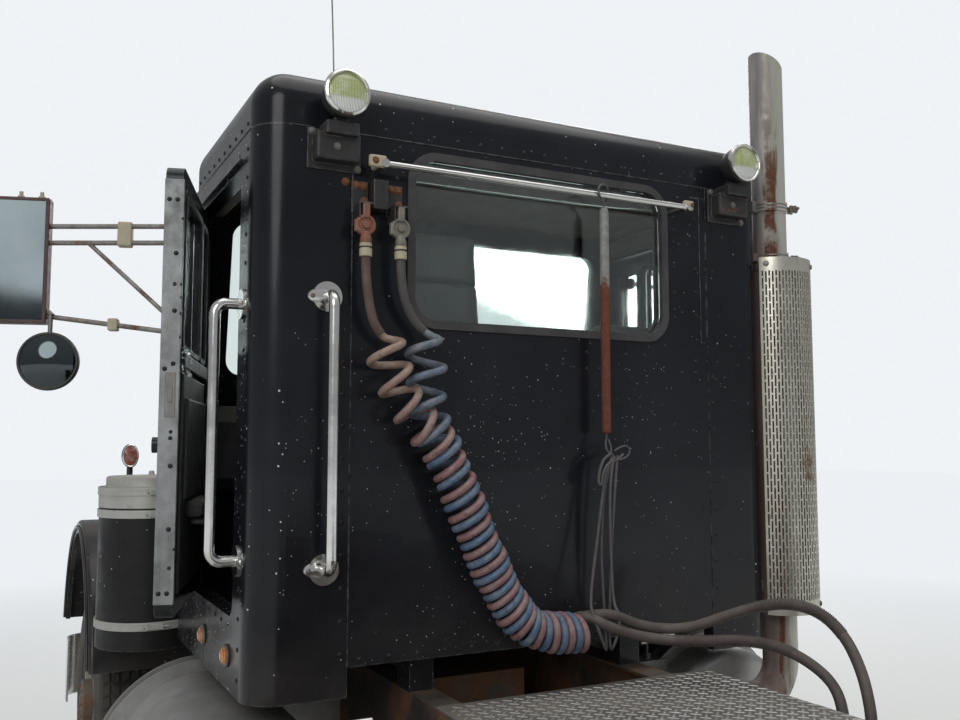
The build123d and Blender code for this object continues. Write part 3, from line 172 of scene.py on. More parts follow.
def apply_modifier(piece, kind, **settings):
    modifier = piece.modifiers.new(kind.title(), kind)
    for key, value in settings.items():
        setattr(modifier, key, value)
    pick(piece)
    bpy.ops.object.modifier_apply(modifier=modifier.name)
    return piece


def array(piece, count, step, **settings):
    return apply_modifier(piece, "ARRAY", count=count, use_relative_offset=False,
        use_constant_offset=True, constant_offset_displace=step, **settings)


def soften(piece, width, segments=2, angle=30):
    return apply_modifier(piece, "BEVEL", width=width, segments=segments, limit_method="ANGLE",
        angle_limit=math.radians(angle))


def smooth(piece, angle=35):
    pick(piece)
    bpy.ops.object.shade_smooth_by_angle(angle=math.radians(angle))
    return piece


def new_piece(name):
    """The primitive that was just added, named and settled."""
    piece = settle(bpy.context.object)
    piece.name = name
    return piece


def block(name, low, high, edge=0.0, segments=2):
    """A block between two corners, its edges rounded by edge."""
    start_fresh()
    low, high = Vector(low), Vector(high)
    bpy.ops.mesh.primitive_cube_add(size=1, location=(low + high) / 2, scale=high - low)
    piece = new_piece(name)
    return soften(piece, edge, segments) if edge else piece


def bar(name, start, end, radius, sides=20, edge=0.0):
    """A round bar between two points."""
    start_fresh()
    start, end = Vector(start), Vector(end)
    turn = (end - start).to_track_quat("Z", "Y").to_euler()
    bpy.ops.mesh.primitive_cylinder_add(vertices=sides, radius=radius, location=(start + end) / 2,
        depth=(end - start).length, rotation=turn)
    piece = new_piece(name)
    return soften(piece, edge) if edge else piece


def plane(name, size, at, turn):
    """A plane turned about the origin, then stretched and moved."""
    start_fresh()
    bpy.ops.mesh.primitive_plane_add(size=1, location=ORIGIN, rotation=turn)
    piece = new_piece(name)
    piece.scale = size
    piece.location = at
    return settle(piece)


def turned(name, centre, axis, profile, steps=48):
    """A shape turned on the axis through centre, from (radius, distance along) points."""
    start_fresh()
    centre, axis = Vector(centre), Vector(axis).normalized()
    across = axis.orthogonal().normalized()
    points = [centre + across * radius + axis * along for radius, along in profile]
    bpy.ops.mesh.primitive_plane_add(size=0.001, location=points[0])
    piece = bpy.context.object
    piece.name = name
    edit(piece)
    bpy.ops.mesh.merge(type="CENTER")
    for before, here in zip(points, points[1:]):
        extrude(here - before)
    select_whole()
    bpy.ops.mesh.spin(steps=steps, angle=2 * math.pi, center=centre, axis=axis)
    select_whole()
    bpy.ops.mesh.remove_doubles(threshold=1e-5)
    bpy.ops.mesh.normals_make_consistent(inside=False)
    return smooth(settle(piece))


def tube(name, points, radius, order=3, sides=3, resolution=6):
    """A round tube along a smooth line that leads past the points, made a mesh."""
    start_fresh()
    bpy.ops.curve.primitive_nurbs_path_add(location=ORIGIN)
    path = bpy.context.object
    curve = path.data
    curve.splines.remove(curve.splines[0])
    fill_spline(curve, points, order)
    curve.bevel_depth = radius
    curve.bevel_resolution = sides
    curve.use_fill_caps = True
    curve.resolution_u = resolution
    pick(path)
    bpy.ops.object.convert(target="MESH")
    return smooth(new_piece(name), 50)


def fill_spline(curve, points, order=3):
    spline = curve.splines.new("NURBS")
    spline.points.add(len(points) - 1)
    for control, point in zip(spline.points, points):
        control.co = (*point, 1)
    spline.order_u = order
    spline.use_endpoint_u = True


def join(name, pieces):
    """One piece of several."""
    pick(*pieces)
    if len(pieces) > 1:
        bpy.ops.object.join()
    piece = bpy.context.object
    piece.name = name
    return piece


def duplicate(piece, at=ORIGIN):
    pick(piece)
    bpy.ops.object.duplicate(linked=False)
    bpy.context.object.location = at
    return bpy.context.object


def mirrored(piece, name):
    """A copy on the truck's other side."""
    made = settle(duplicate(piece))
    made.name = name
    made.scale.x = -1
    edit(settle(made))
    bpy.ops.mesh.normals_make_consistent(inside=False)
    leave_edit()
    return made


def repeat(name, one, places):
    """Copies of one shape at many places, as one piece."""
    copies = [duplicate(one, place) for place in places]
    bpy.data.objects.remove(one)
    return settle(join(name, copies))


def scatter(name, one, places, material, body="chassis"):
    """Copies of one shape at many places, with their finish."""
    return dress(repeat(name, one, places), material, body)


def ringed(piece, count, axis):
    """The shape copied round an axis through the origin, count times in all."""
    edit(piece)
    bpy.ops.mesh.spin(steps=count - 1, dupli=True, angle=2 * math.pi * (count - 1) / count,
        center=ORIGIN, axis=axis)
    leave_edit()
    return piece


def dress(piece, material, body="chassis", replaces=()):
    """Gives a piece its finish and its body."""
    piece.data.materials.clear()
    piece.data.materials.append(FINISHES[material] if material in FINISHES else material)
    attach(piece, body)
    if replaces:
        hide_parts(*replaces)
    return piece


def fit(name, pieces, material, body="chassis", replaces=()):
    """Joins pieces, and gives the one they make its finish and its body."""
    return dress(join(name, pieces), material, body, replaces=replaces)


def dress_node(node, material):
    """Gives a CAD part a finish."""
    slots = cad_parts[node].data.materials
    slots.clear()
    slots.append(material)


# Shader building


class Graph:
    """Adds and joins nodes in one material, node group or world."""

    def __init__(self, tree):
        self.tree = tree
        tree.nodes.clear()

    def node(self, kind, inputs=None, **settings):
        made = self.tree.nodes.new("ShaderNode" + kind)
        made.location = (180 * len(self.tree.nodes), -60 * (len(self.tree.nodes) % 7))
        for key, value in settings.items():
            setattr(made, key, value)
        for key, value in (inputs or {}).items():
            self.feed(made.inputs[key], value)
        return made

    def feed(self, socket, value):
        if isinstance(value, bpy.types.NodeSocket):
            self.tree.links.new(value, socket)
        else:
            socket.default_value = value

    def mix(self, factor, first, second):
        return self.node("Mix", {0: factor, 6: first, 7: second}, data_type="RGBA").outputs[2]

    def math(self, operation, first, second=0.0, clamp=False):
        made = self.node("Math", {0: first, 1: second}, operation=operation)
        made.use_clamp = clamp or operation in ("MULTIPLY", "SUBTRACT", "MAXIMUM")
        return made.outputs[0]

    def times(self, first, *others):
        for other in others:
            first = self.math("MULTIPLY", first, other)
        return first

    def vector_math(self, operation, first, second):
        key = "Scale" if operation == "SCALE" else 1
        made = self.node("VectorMath", {0: first, key: second}, operation=operation)
        return made.outputs["Value" if operation == "DOT_PRODUCT" else 0]

    def ramp(self, value, low, high, to_low=0.0, to_high=1.0):
        made = self.node("MapRange", {0: value, 1: low, 2: high, 3: to_low, 4: to_high})
        return made.outputs[0]

    def noise(self, vector, scale, detail=4.0, rough=0.55):
        made = self.node("TexNoise", {"Vector": vector, "Scale": scale, "Detail": detail,
            "Roughness": rough})
        return made.outputs["Fac"]

    def place(self):
        return self.node("TexCoord").outputs["Object"]

    def mapping(self, vector, **inputs):
        return self.node("Mapping", {"Vector": vector, **inputs}).outputs[0]

    def parts(self, vector):
        return self.node("SeparateXYZ", {0: vector}).outputs

    def bump(self, height, strength, distance=0.001):
        return self.node("Bump", {"Strength": strength, "Distance": distance, "Height":
            height}).outputs[0]

    def shade(self, **sockets):
        """Closes a material with one shader, its sockets named with _ for a space."""
        named = {key.replace("_", " "): value for key, value in sockets.items()}
        self.close(self.node("BsdfPrincipled", named))

    def close(self, shader, kind="Material"):
        self.feed(self.node("Output" + kind).inputs["Surface"], shader.outputs[0])


def new_material(name):
    material = bpy.data.materials.new(name)
    material.use_nodes = True
    return material, Graph(material.node_tree)


FLOAT, COLOUR = "NodeSocketFloat", "NodeSocketColor"


def effect(name, numbers, outputs=(("Mask", FLOAT),), colours=()):
    """Starts a node group with named inputs and outputs."""
    tree = bpy.data.node_groups.new(name, "ShaderNodeTree")
    for kind, given in ((FLOAT, numbers), (COLOUR, dict(colours))):
        for label, value in given.items():
            socket = tree.interface.new_socket(label, in_out="INPUT", socket_type=kind)
            socket.default_value = value
    for label, kind in outputs:
        tree.interface.new_socket(label, in_out="OUTPUT", socket_type=kind)
    GROUPS[name] = tree
    graph = Graph(tree)
    given = tree.nodes.new("NodeGroupInput").outputs
    return graph, given, tree.nodes.new("NodeGroupOutput").inputs


def make_effects():
    # Chips: small round flakes of many sizes, in loose clusters
    g, given, out = effect("Chips", {"Scale": 40, "Amount": 0.5, "Size": 0.3})
    here = g.place()
    bent = g.node("TexNoise", {"Vector": here, "Scale": 60.0}).outputs["Color"]
    moved = g.vector_math("ADD", here, g.vector_math("SCALE", bent, 0.006))
    cells = g.node("TexVoronoi", {"Vector": moved, "Scale": given["Scale"]}).outputs
    chance = g.node("SeparateColor", {0: cells["Color"]}).outputs
    cluster = g.ramp(g.noise(here, 1.9, 3.0), 0.38, 0.68)
    low = g.ramp(g.parts(here)[2], 2.5, 1.0, 0.35, 1.0)
    there = g.math("LESS_THAN", chance[0], g.times(given["Amount"], cluster, low))
    radius = g.times(g.math("POWER", chance[1], 2.5), given["Size"])
    g.feed(out["Mask"], g.times(there, g.math("LESS_THAN", cells["Distance"], radius)))

    # Edge wear: where a surface turns sharply
    g, given, out = effect("Edge wear", {"Radius": 0.006, "Amount": 1.0})
    flat = g.node("NewGeometry").outputs["Normal"]
    round_edge = g.node("Bevel", {"Radius": given["Radius"]}, samples=4).outputs[0]
    turn = g.ramp(g.vector_math("DOT_PRODUCT", flat, round_edge), 0.995, 0.8)
    broken = g.ramp(g.noise(g.place(), 34.0, 5.0, 0.65), 0.42, 0.62)
    g.feed(out["Mask"], g.times(turn, broken, given["Amount"]))

    # Dust: on what faces up, and more towards the ground
    g, given, out = effect("Dust", {"Top": 0.6, "Low height": 0.4, "High height": 1.4,
        "Low amount": 0.7})
    up = g.parts(g.node("NewGeometry").outputs["Normal"])[2]
    lying = g.times(g.ramp(up, 0.25, 1.0), given["Top"])
    low = g.ramp(g.parts(g.place())[2], given["Low height"], given["High height"], 1.0, 0.0)
    sides = g.times(low, given["Low amount"])
    patchy = g.ramp(g.noise(g.place(), 5.0, 7.0, 0.62), 0.3, 0.72)
    g.feed(out["Mask"], g.times(g.math("MAXIMUM", lying, sides), patchy))

    # Rust: patches of two browns with a rough edge
    g, given, out = effect("Rust", {"Scale": 6.0, "Amount": 0.5}, (("Mask", FLOAT),
        ("Colour", COLOUR), ("Height", FLOAT)), {"Colour": (0.18, 0.065, 0.025, 1)})
    here = g.place()
    wide = g.noise(here, given["Scale"], 8.0, 0.68)
    edge = g.times(g.math("SUBTRACT", 1.0, given["Amount"]), 0.78)
    g.feed(out["Mask"], g.ramp(wide, edge, g.math("ADD", edge, 0.12, True)))
    fine = g.noise(here, 55.0, 6.0, 0.7)
    g.feed(out["Colour"], g.mix(fine, g.mix(0.65, given["Colour"], (0.03, 0.016, 0.01, 1)),
        g.mix(0.35, given["Colour"], (0.42, 0.2, 0.08, 1))))
    g.feed(out["Height"], fine)

    # Streaks: runs of dirt down an upright surface
    g, given, out = effect("Streaks", {"Amount": 0.5, "Width": 22.0})
    here = g.place()
    flatter = g.mapping(here, Scale=(1, 1, 0.07))
    runs = g.ramp(g.noise(flatter, given["Width"], 4.0, 0.6), 0.48, 0.74)
    broken = g.ramp(g.noise(here, 2.4, 4.0), 0.35, 0.65)
    g.feed(out["Mask"], g.times(runs, broken, given["Amount"]))


def finish(name, base, second, mottle=(4.0, 0.5), rough=(0.4, 0.6), metallic=0.0,
           rust=0.0, rust_scale=6.0, dust=(0.5, 0.5), chips=0.0, chip_colour=(0.5, 0.52, 0.52),
           chip_scale=30.0, edge=0.0, edge_colour=(0.28, 0.28, 0.28), streaks=0.0,
           bump=0.15, bump_scale=90.0, coat=0.0, wave=0.0, **sockets):
    """A weathered finish: base colours, then rust, streaks, chips, edge wear and dust."""
    paint = bpy.context.scene.tractor_paint
    material, g = new_material(name)

    def layer(group, **inputs):
        made = g.node("Group", node_tree=GROUPS[group])
        for key, value in inputs.items():
            g.feed(made.inputs[key.replace("_", " ")], value)
        return made.outputs

    def bare(mask):
        return g.times(g.math("SUBTRACT", 1.0, mask), metal) if metallic else metal

    here = g.place()
    blotch = g.ramp(g.noise(here, mottle[0], 6.0, 0.6), 0.3, 0.7)
    colour = g.mix(g.times(blotch, mottle[1]), opaque(base), opaque(second))
    grain = g.noise(here, bump_scale, 4.0, 0.6)
    roughness = g.ramp(g.noise(here, mottle[0] * 2.3, 5.0, 0.6), 0.3, 0.7, *rough)
    metal, height = metallic, grain
    if streaks:
        mask = layer("Streaks", Amount=streaks)["Mask"]
        colour = g.mix(mask, colour, (0.05, 0.035, 0.025, 1))
        metal = bare(mask)
    if rust:
        parts = layer("Rust", Scale=rust_scale, Amount=rust, Colour=tuple(paint.rust))
        colour = g.mix(parts["Mask"], colour, parts["Colour"])
        roughness = g.ramp(parts["Mask"], 0.0, 1.0, roughness, 0.85)
        metal = bare(parts["Mask"])
        height = g.math("ADD", g.times(grain, 0.5), g.times(parts["Mask"], parts["Height"]), True)
    if edge:
        colour = g.mix(layer("Edge wear", Amount=edge)["Mask"], colour, opaque(edge_colour))
    if chips:
        mask = layer("Chips", Scale=chip_scale, Amount=chips)["Mask"]
        colour = g.mix(mask, colour, opaque(chip_colour))
    if any(dust):
        mask = layer("Dust", Top=dust[0], Low_amount=dust[1])["Mask"]
        colour = g.mix(mask, colour, tuple(paint.dust))
        roughness = g.ramp(mask, 0.0, 1.0, roughness, 0.9)
        metal = bare(mask)
    if wave:
        height = g.math("ADD", g.times(height, 1 - wave), g.times(g.noise(here, 2.2, 1.0, 0.4),
            wave), True)
    g.shade(Base_Color=colour, Roughness=roughness, Metallic=metal, Coat_Weight=coat,
        Normal=g.bump(height, bump, 0.012 if wave else 0.002), **sockets)
    material.diffuse_color = opaque(base)
    return material


def opaque(colour):
    return (*tuple(colour)[:3], 1)


FINISH_TABLE = {
    # finish: material, colour, second colour, scale and share of the second, roughness, the rest
    "chassis": ("chassis_paint", (0.022, 0.021, 0.02), (0.05, 0.045, 0.04), (3.0, 0.8),
        (0.5, 0.75), dict(rust=0.42, rust_scale=4.0, edge=0.5, edge_colour=(0.16, 0.075, 0.035),
        dust=(0.8, 0.6), bump=0.4)),
    "cast": ("cast_steel", (0.075, 0.062, 0.052), (0.16, 0.13, 0.1), (5.0, 0.8), (0.6, 0.85),
        dict(metallic=0.3, rust=0.5, dust=(0.8, 0.7), bump=0.6, bump_scale=60)),
    "grease": ("greased_steel", (0.03, 0.027, 0.024), (0.1, 0.09, 0.08), (7.0, 0.8), (0.22, 0.6),
        dict(metallic=0.6, rust=0.35, dust=(0.45, 0.2), edge=0.8, edge_colour=(0.4, 0.38, 0.36),
        bump=0.4, bump_scale=50)),
    "rusty": ("rusty_steel", (0.16, 0.075, 0.04), (0.3, 0.15, 0.08), (9.0, 0.8), (0.6, 0.9),
        dict(rust=0.75, dust=(0.2, 0.0), bump=0.6, bump_scale=70)),
    "guard": ("guard_plate", (0.62, 0.6, 0.52), (0.45, 0.43, 0.36), (6.0, 0.7), (0.25, 0.48),
        dict(metallic=0.85, streaks=0.35, rust=0.22, rust_scale=7.0, dust=(0.2, 0.1), bump=0.15)),
    "bright": ("bright_metal", (0.72, 0.71, 0.68), (0.5, 0.49, 0.46), (7.0, 0.5), (0.1, 0.28),
        dict(metallic=1.0, rust=0.16, rust_scale=12.0, dust=(0.25, 0.2), bump=0.06)),
    "aluminium": ("aluminium", (0.48, 0.48, 0.47), (0.3, 0.3, 0.3), (5.0, 0.8), (0.34, 0.6),
        dict(metallic=0.85, streaks=0.25, dust=(0.7, 0.5), bump=0.25, bump_scale=120)),
    "worn_edge": ("worn_aluminium", (0.36, 0.37, 0.37), (0.12, 0.12, 0.12), (11.0, 0.9),
        (0.4, 0.7), dict(metallic=0.5, chips=0.6, chip_colour=(0.02, 0.02, 0.022), chip_scale=45,
        streaks=0.6, dust=(0.4, 0.2), bump=0.35)),
    "rubber": ("black_rubber", (0.012, 0.012, 0.012), (0.035, 0.034, 0.033), (14.0, 0.7),
        (0.45, 0.7), dict(dust=(0.5, 0.2), bump=0.25, bump_scale=150)),
    "gasket": ("gasket_rubber", (0.035, 0.033, 0.034), (0.075, 0.068, 0.07), (12.0, 0.8),
        (0.5, 0.75), dict(dust=(0.4, 0.0), bump=0.2)),
    "tyre": ("tyre_rubber", (0.016, 0.016, 0.016), (0.045, 0.042, 0.038), (6.0, 0.8), (0.6, 0.85),
        dict(dust=(0.35, 0.5), bump=0.3, bump_scale=140)),
    "wheel": ("wheel_paint", (0.52, 0.51, 0.47), (0.34, 0.32, 0.28), (7.0, 0.8), (0.4, 0.65),
        dict(rust=0.36, rust_scale=9.0, streaks=0.3, edge=0.6, edge_colour=(0.14, 0.06, 0.03),
        dust=(0.6, 0.6), bump=0.3)),
    "vinyl": ("seat_cover", (0.035, 0.035, 0.038), (0.07, 0.068, 0.066), (8.0, 0.7), (0.45, 0.65),
        dict(dust=(0.4, 0.0), bump=0.3, bump_scale=260)),
    "plastic": ("dark_plastic", (0.018, 0.018, 0.018), (0.05, 0.048, 0.045), (9.0, 0.7),
        (0.4, 0.6), dict(dust=(0.7, 0.0), bump=0.15)),
    "sleeve": ("hose_sleeve", (0.085, 0.055, 0.042), (0.16, 0.115, 0.095), (18.0, 0.8),
        (0.6, 0.85), dict(dust=(0.4, 0.0), bump=0.4, bump_scale=120)),
    "grey_sleeve": ("grey_sleeve", (0.052, 0.05, 0.046), (0.115, 0.108, 0.1), (18.0, 0.8),
        (0.6, 0.85), dict(dust=(0.4, 0.0), bump=0.4, bump_scale=120)),
    "tail_sleeve": ("tail_sleeve", (0.062, 0.048, 0.044), (0.12, 0.098, 0.088), (14.0, 0.8),
        (0.5, 0.75), dict(dust=(0.5, 0.0), bump=0.3, bump_scale=140)),
    "brass": ("old_brass", (0.3, 0.2, 0.075), (0.16, 0.11, 0.06), (30.0, 0.8), (0.35, 0.6),
        dict(metallic=0.85, dust=(0.3, 0.0), bump=0.2)),
    "orange_cast": ("red_coupling", (0.27, 0.08, 0.045), (0.17, 0.1, 0.07), (34.0, 0.9),
        (0.5, 0.75), dict(chips=0.9, chip_scale=120, chip_colour=(0.45, 0.3, 0.2), edge=0.7,
        edge_colour=(0.46, 0.33, 0.24), dust=(0.3, 0.0), bump=0.4)),
    "pale_cast": ("pale_coupling", (0.27, 0.25, 0.2), (0.15, 0.14, 0.12), (34.0, 0.9), (0.45, 0.7),
        dict(metallic=0.3, chips=0.7, chip_scale=120, chip_colour=(0.12, 0.1, 0.08),
        dust=(0.3, 0.0), bump=0.4)),
    "cream": ("cream_paint", (0.5, 0.45, 0.32), (0.36, 0.32, 0.22), (22.0, 0.8), (0.5, 0.7),
        dict(chips=0.7, chip_scale=90, chip_colour=(0.1, 0.06, 0.04), edge=0.6,
        edge_colour=(0.2, 0.1, 0.05), dust=(0.3, 0.0), bump=0.25)),
    "dark_wire": ("dark_cord", (0.075, 0.07, 0.072), (0.13, 0.12, 0.118), (30.0, 0.8), (0.6, 0.8),
        dict(dust=(0.3, 0.0), bump=0.3, bump_scale=200)),
    "bracket": ("bracket_paint", (0.014, 0.014, 0.016), (0.04, 0.038, 0.036), (9.0, 0.8),
        (0.4, 0.7), dict(rust=0.22, rust_scale=10.0, edge=0.9, edge_colour=(0.24, 0.2, 0.17),
        dust=(0.4, 0.0), bump=0.35)),
    "worn_steel": ("worn_steel", (0.27, 0.26, 0.245), (0.15, 0.135, 0.12), (16.0, 0.8),
        (0.38, 0.65), dict(metallic=0.7, rust=0.3, rust_scale=11.0, dust=(0.3, 0.1), bump=0.3)),
    "mirror": ("mirror_face", (0.085, 0.1, 0.105), (0.05, 0.062, 0.066), (1.6, 0.9), (0.03, 0.1),
        dict(metallic=1.0, dust=(0.1, 0.0), bump=0.01)),
    "mirror_frame": ("mirror_frame", (0.075, 0.032, 0.028), (0.04, 0.025, 0.022), (14.0, 0.8),
        (0.4, 0.65), dict(edge=0.7, edge_colour=(0.26, 0.22, 0.19), dust=(0.4, 0.0), bump=0.2)),
    "trim": ("cab_trim", (0.17, 0.13, 0.095), (0.1, 0.076, 0.058), (5.0, 0.8), (0.6, 0.85),
        dict(streaks=0.4, dust=(0.3, 0.0), bump=0.35, bump_scale=170)),
    "canister": ("air_cleaner", (0.008, 0.008, 0.009), (0.022, 0.021, 0.02), (5.0, 0.8),
        (0.35, 0.6), dict(chips=0.5, chip_scale=90, edge=0.7, dust=(0.3, 0.06), bump=0.25,
        Specular_IOR_Level=0.25)),
    "lid": ("air_cleaner_lid", (0.5, 0.5, 0.47), (0.33, 0.32, 0.29), (6.0, 0.8), (0.4, 0.65),
        dict(metallic=0.25, rust=0.25, rust_scale=8.0, streaks=0.4, dust=(0.5, 0.2), bump=0.25)),
    "hub": ("hub_steel", (0.2, 0.19, 0.17), (0.1, 0.085, 0.07), (12.0, 0.8), (0.45, 0.75),
        dict(metallic=0.5, rust=0.45, rust_scale=14.0, edge=0.6, dust=(0.5, 0.6), bump=0.4)),
    "dial": ("gauge_face", (0.02, 0.02, 0.02), (0.1, 0.1, 0.095), (90.0, 0.6), (0.2, 0.35),
        dict(dust=(0.2, 0.0), bump=0.05, coat=0.6)),
    "tread_plate": ("tread_plate", (0.26, 0.25, 0.23), (0.1, 0.09, 0.08), (6.0, 0.9), (0.4, 0.7),
        dict(metallic=0.5, streaks=0.2, dust=(0.8, 0.3), bump=0.25, bump_scale=110)),
}


def make_finishes():
    paint = bpy.context.scene.tractor_paint
    hose = bpy.context.scene.tractor_hoses
    FINISHES["cab"] = finish("cab_paint", paint.paint, paint.faded, (1.7, 0.7), (0.14, 0.3),
        chips=paint.chips, chip_colour=(0.62, 0.66, 0.68), chip_scale=95, edge=0.5,
        dust=(0.22, 0.3), bump=0.1, bump_scale=220, wave=0.8, coat=0.08, Specular_IOR_Level=0.22)
    FINISHES["hood"] = finish("hood_paint", paint.paint, paint.faded, (1.3, 0.8), (0.18, 0.4),
        chips=0.5, chip_scale=80, edge=0.6, dust=(0.3, 0.4), bump=0.1, bump_scale=220, wave=0.8,
        coat=0.08, Specular_IOR_Level=0.25)
    for name, (material, *plain, more) in FINISH_TABLE.items():
        FINISHES[name] = finish(material, *plain, **more)
    FINISHES["red_hose"] = hose_finish("red_hose", (0.33, 0.225, 0.165, 1), hose.red)
    FINISHES["blue_hose"] = hose_finish("blue_hose", (0.125, 0.15, 0.185, 1), hose.blue)
    FINISHES["tender"] = zoned_finish("tender_rod", (0.3, 0.3, 0.285, 1), (0.2, 0.058, 0.028, 1),
        2.235, 0.05)
    FINISHES["stack"] = stack_finish()


def zoned_finish(name, upper, lower, height, blur):
    """Bare grey metal above a height and rust below it, with a ragged border."""
    material, g = new_material(name)
    here = g.place()
    ragged = g.ramp(g.noise(here, 26.0, 6.0, 0.65), 0.3, 0.7, -blur, blur)
    moved = g.math("ADD", g.parts(here)[2], ragged)
    rusted = g.ramp(moved, height - 0.01, height + 0.01, 1.0, 0.0)
    fine = g.noise(here, 80.0, 6.0, 0.7)
    rust = g.mix(g.ramp(fine, 0.3, 0.7), lower, (0.085, 0.03, 0.018, 1))
    grey = g.mix(g.ramp(g.noise(here, 40.0, 5.0, 0.6), 0.35, 0.75), upper, (0.15, 0.135, 0.12, 1))
    g.shade(Base_Color=g.mix(rusted, grey, rust), Roughness=g.ramp(rusted, 0, 1, 0.5, 0.85),
        Normal=g.bump(fine, 0.4))
    return material


def hose_finish(name, upper, lower):
    """Paler rubber at the top of the coils, its own colour lower down, with dark scuffs."""
    material, g = new_material(name)
    here = g.place()
    ragged = g.ramp(g.noise(here, 9.0, 4.0), 0.3, 0.7, -0.16, 0.16)
    colour = g.mix(g.ramp(g.math("ADD", g.parts(here)[2], ragged), 1.62, 1.98), lower, upper)
    worn = g.ramp(g.noise(here, 26.0, 6.0, 0.65), 0.42, 0.72)
    colour = g.mix(g.times(worn, 0.7), colour, g.mix(0.6, colour, (0.38, 0.36, 0.35, 1)))
    scuffs = g.ramp(g.noise(here, 70.0, 5.0, 0.7), 0.56, 0.66)
    colour = g.mix(g.times(scuffs, 0.75), colour, (0.055, 0.045, 0.042, 1))
    g.shade(Base_Color=colour, Roughness=g.ramp(worn, 0, 1, 0.38, 0.62),
        Normal=g.bump(scuffs, 0.2))
    return material


def stack_finish():
    """Old steel pipe: dull metal with painted shade on one side and a painted highlight on the
    other, a rust band that widens downwards, pale scale.
    """
    material, g = new_material("stack_pipe")
    here = g.place()
    centred = g.mapping(here, Location=(-STACK[0], -STACK[1], 0))
    height = g.parts(centred)[2]
    across = g.vector_math("DOT_PRODUCT", centred, (14.0, -7.2, 0))
    runs = g.mapping(here, Scale=(1, 1, 0.1))
    streaky = g.ramp(g.noise(runs, 30.0, 6.0, 0.6), 0.25, 0.75, -0.45, 0.45)
    place = g.math("ADD", across, streaky)
    band = g.times(g.ramp(place, -0.6, -0.35), g.ramp(place, 0.18, -0.05))
    low = g.ramp(height, 3.05, 2.75, 0.25, 1.0)
    patchy = g.ramp(g.noise(here, 11.0, 7.0, 0.65), 0.34, 0.5)
    burnt = g.times(g.ramp(height, 2.46, 2.6, 0.6, 0.0), g.ramp(place, 0.45, 0.1))
    band = g.math("MAXIMUM", g.times(band, g.times(low, patchy)), burnt)
    fine = g.noise(here, 60.0, 6.0, 0.7)
    rust = g.mix(g.ramp(fine, 0.3, 0.7), (0.175, 0.062, 0.026, 1), (0.06, 0.026, 0.018, 1))
    # painted shade and highlight: the steel is dark on one side of the pipe and pale on the other,
    # across the view
    steel_painted_shade = g.mix(g.ramp(across, -1.0, 0.9), (0.2, 0.185, 0.195, 1), (0.52, 0.53, 0.44, 1))
    steel_painted_shade = g.mix(g.ramp(g.noise(runs, 22.0, 5.0, 0.6), 0.45, 0.8), steel_painted_shade, (0.52, 0.5, 0.46, 1))
    g.shade(Base_Color=g.mix(band, steel_painted_shade, rust), Roughness=g.ramp(band, 0, 1, 0.4, 0.85),
        Metallic=g.ramp(band, 0, 1, 0.35, 0.0), Normal=g.bump(fine, 0.35, 0.0015))
    return material


def lens_finish(name, middle, low, ribs, split):
    """A moulded glass lens with upright ribs, its colour changing below the height split."""
    material, g = new_material(name)
    here = g.place()
    lower = g.ramp(g.parts(here)[2], split + 0.006, split - 0.006)
    wave = g.node("TexWave", {"Vector": here, "Scale": ribs / 6.28, "Distortion": 0.4},
        bands_direction="X").outputs["Fac"]
    rows = g.node("TexWave", {"Vector": here, "Scale": ribs / 16, "Distortion": 0.0},
        bands_direction="Z").outputs["Fac"]
    colour = g.mix(lower, middle, low)
    colour = g.mix(g.times(g.ramp(wave, 0.55, 0.95), 0.75), colour, (0.09, 0.1, 0.08, 1))
    pale = g.times(g.ramp(g.noise(here, 30.0), 0.45, 0.75), 0.4)
    g.shade(Base_Color=g.mix(pale, colour, (0.75, 0.78, 0.72, 1)), Coat_Weight=0.8,
        Roughness=g.ramp(g.noise(here, 12.0), 0.3, 0.7, 0.08, 0.2),
        Normal=g.bump(g.times(wave, rows), 0.6))
    return material


def glass_finish(name, colour, rough=0.02):
    material, g = new_material(name)
    smear = g.ramp(g.noise(g.place(), 6.0, 5.0, 0.6), 0.35, 0.8, rough, rough + 0.1)
    g.shade(Base_Color=colour, Roughness=smear, Transmission_Weight=1.0, IOR=1.45)
    material.diffuse_color = (*colour[:3], 0.35)
    return material


# The stage


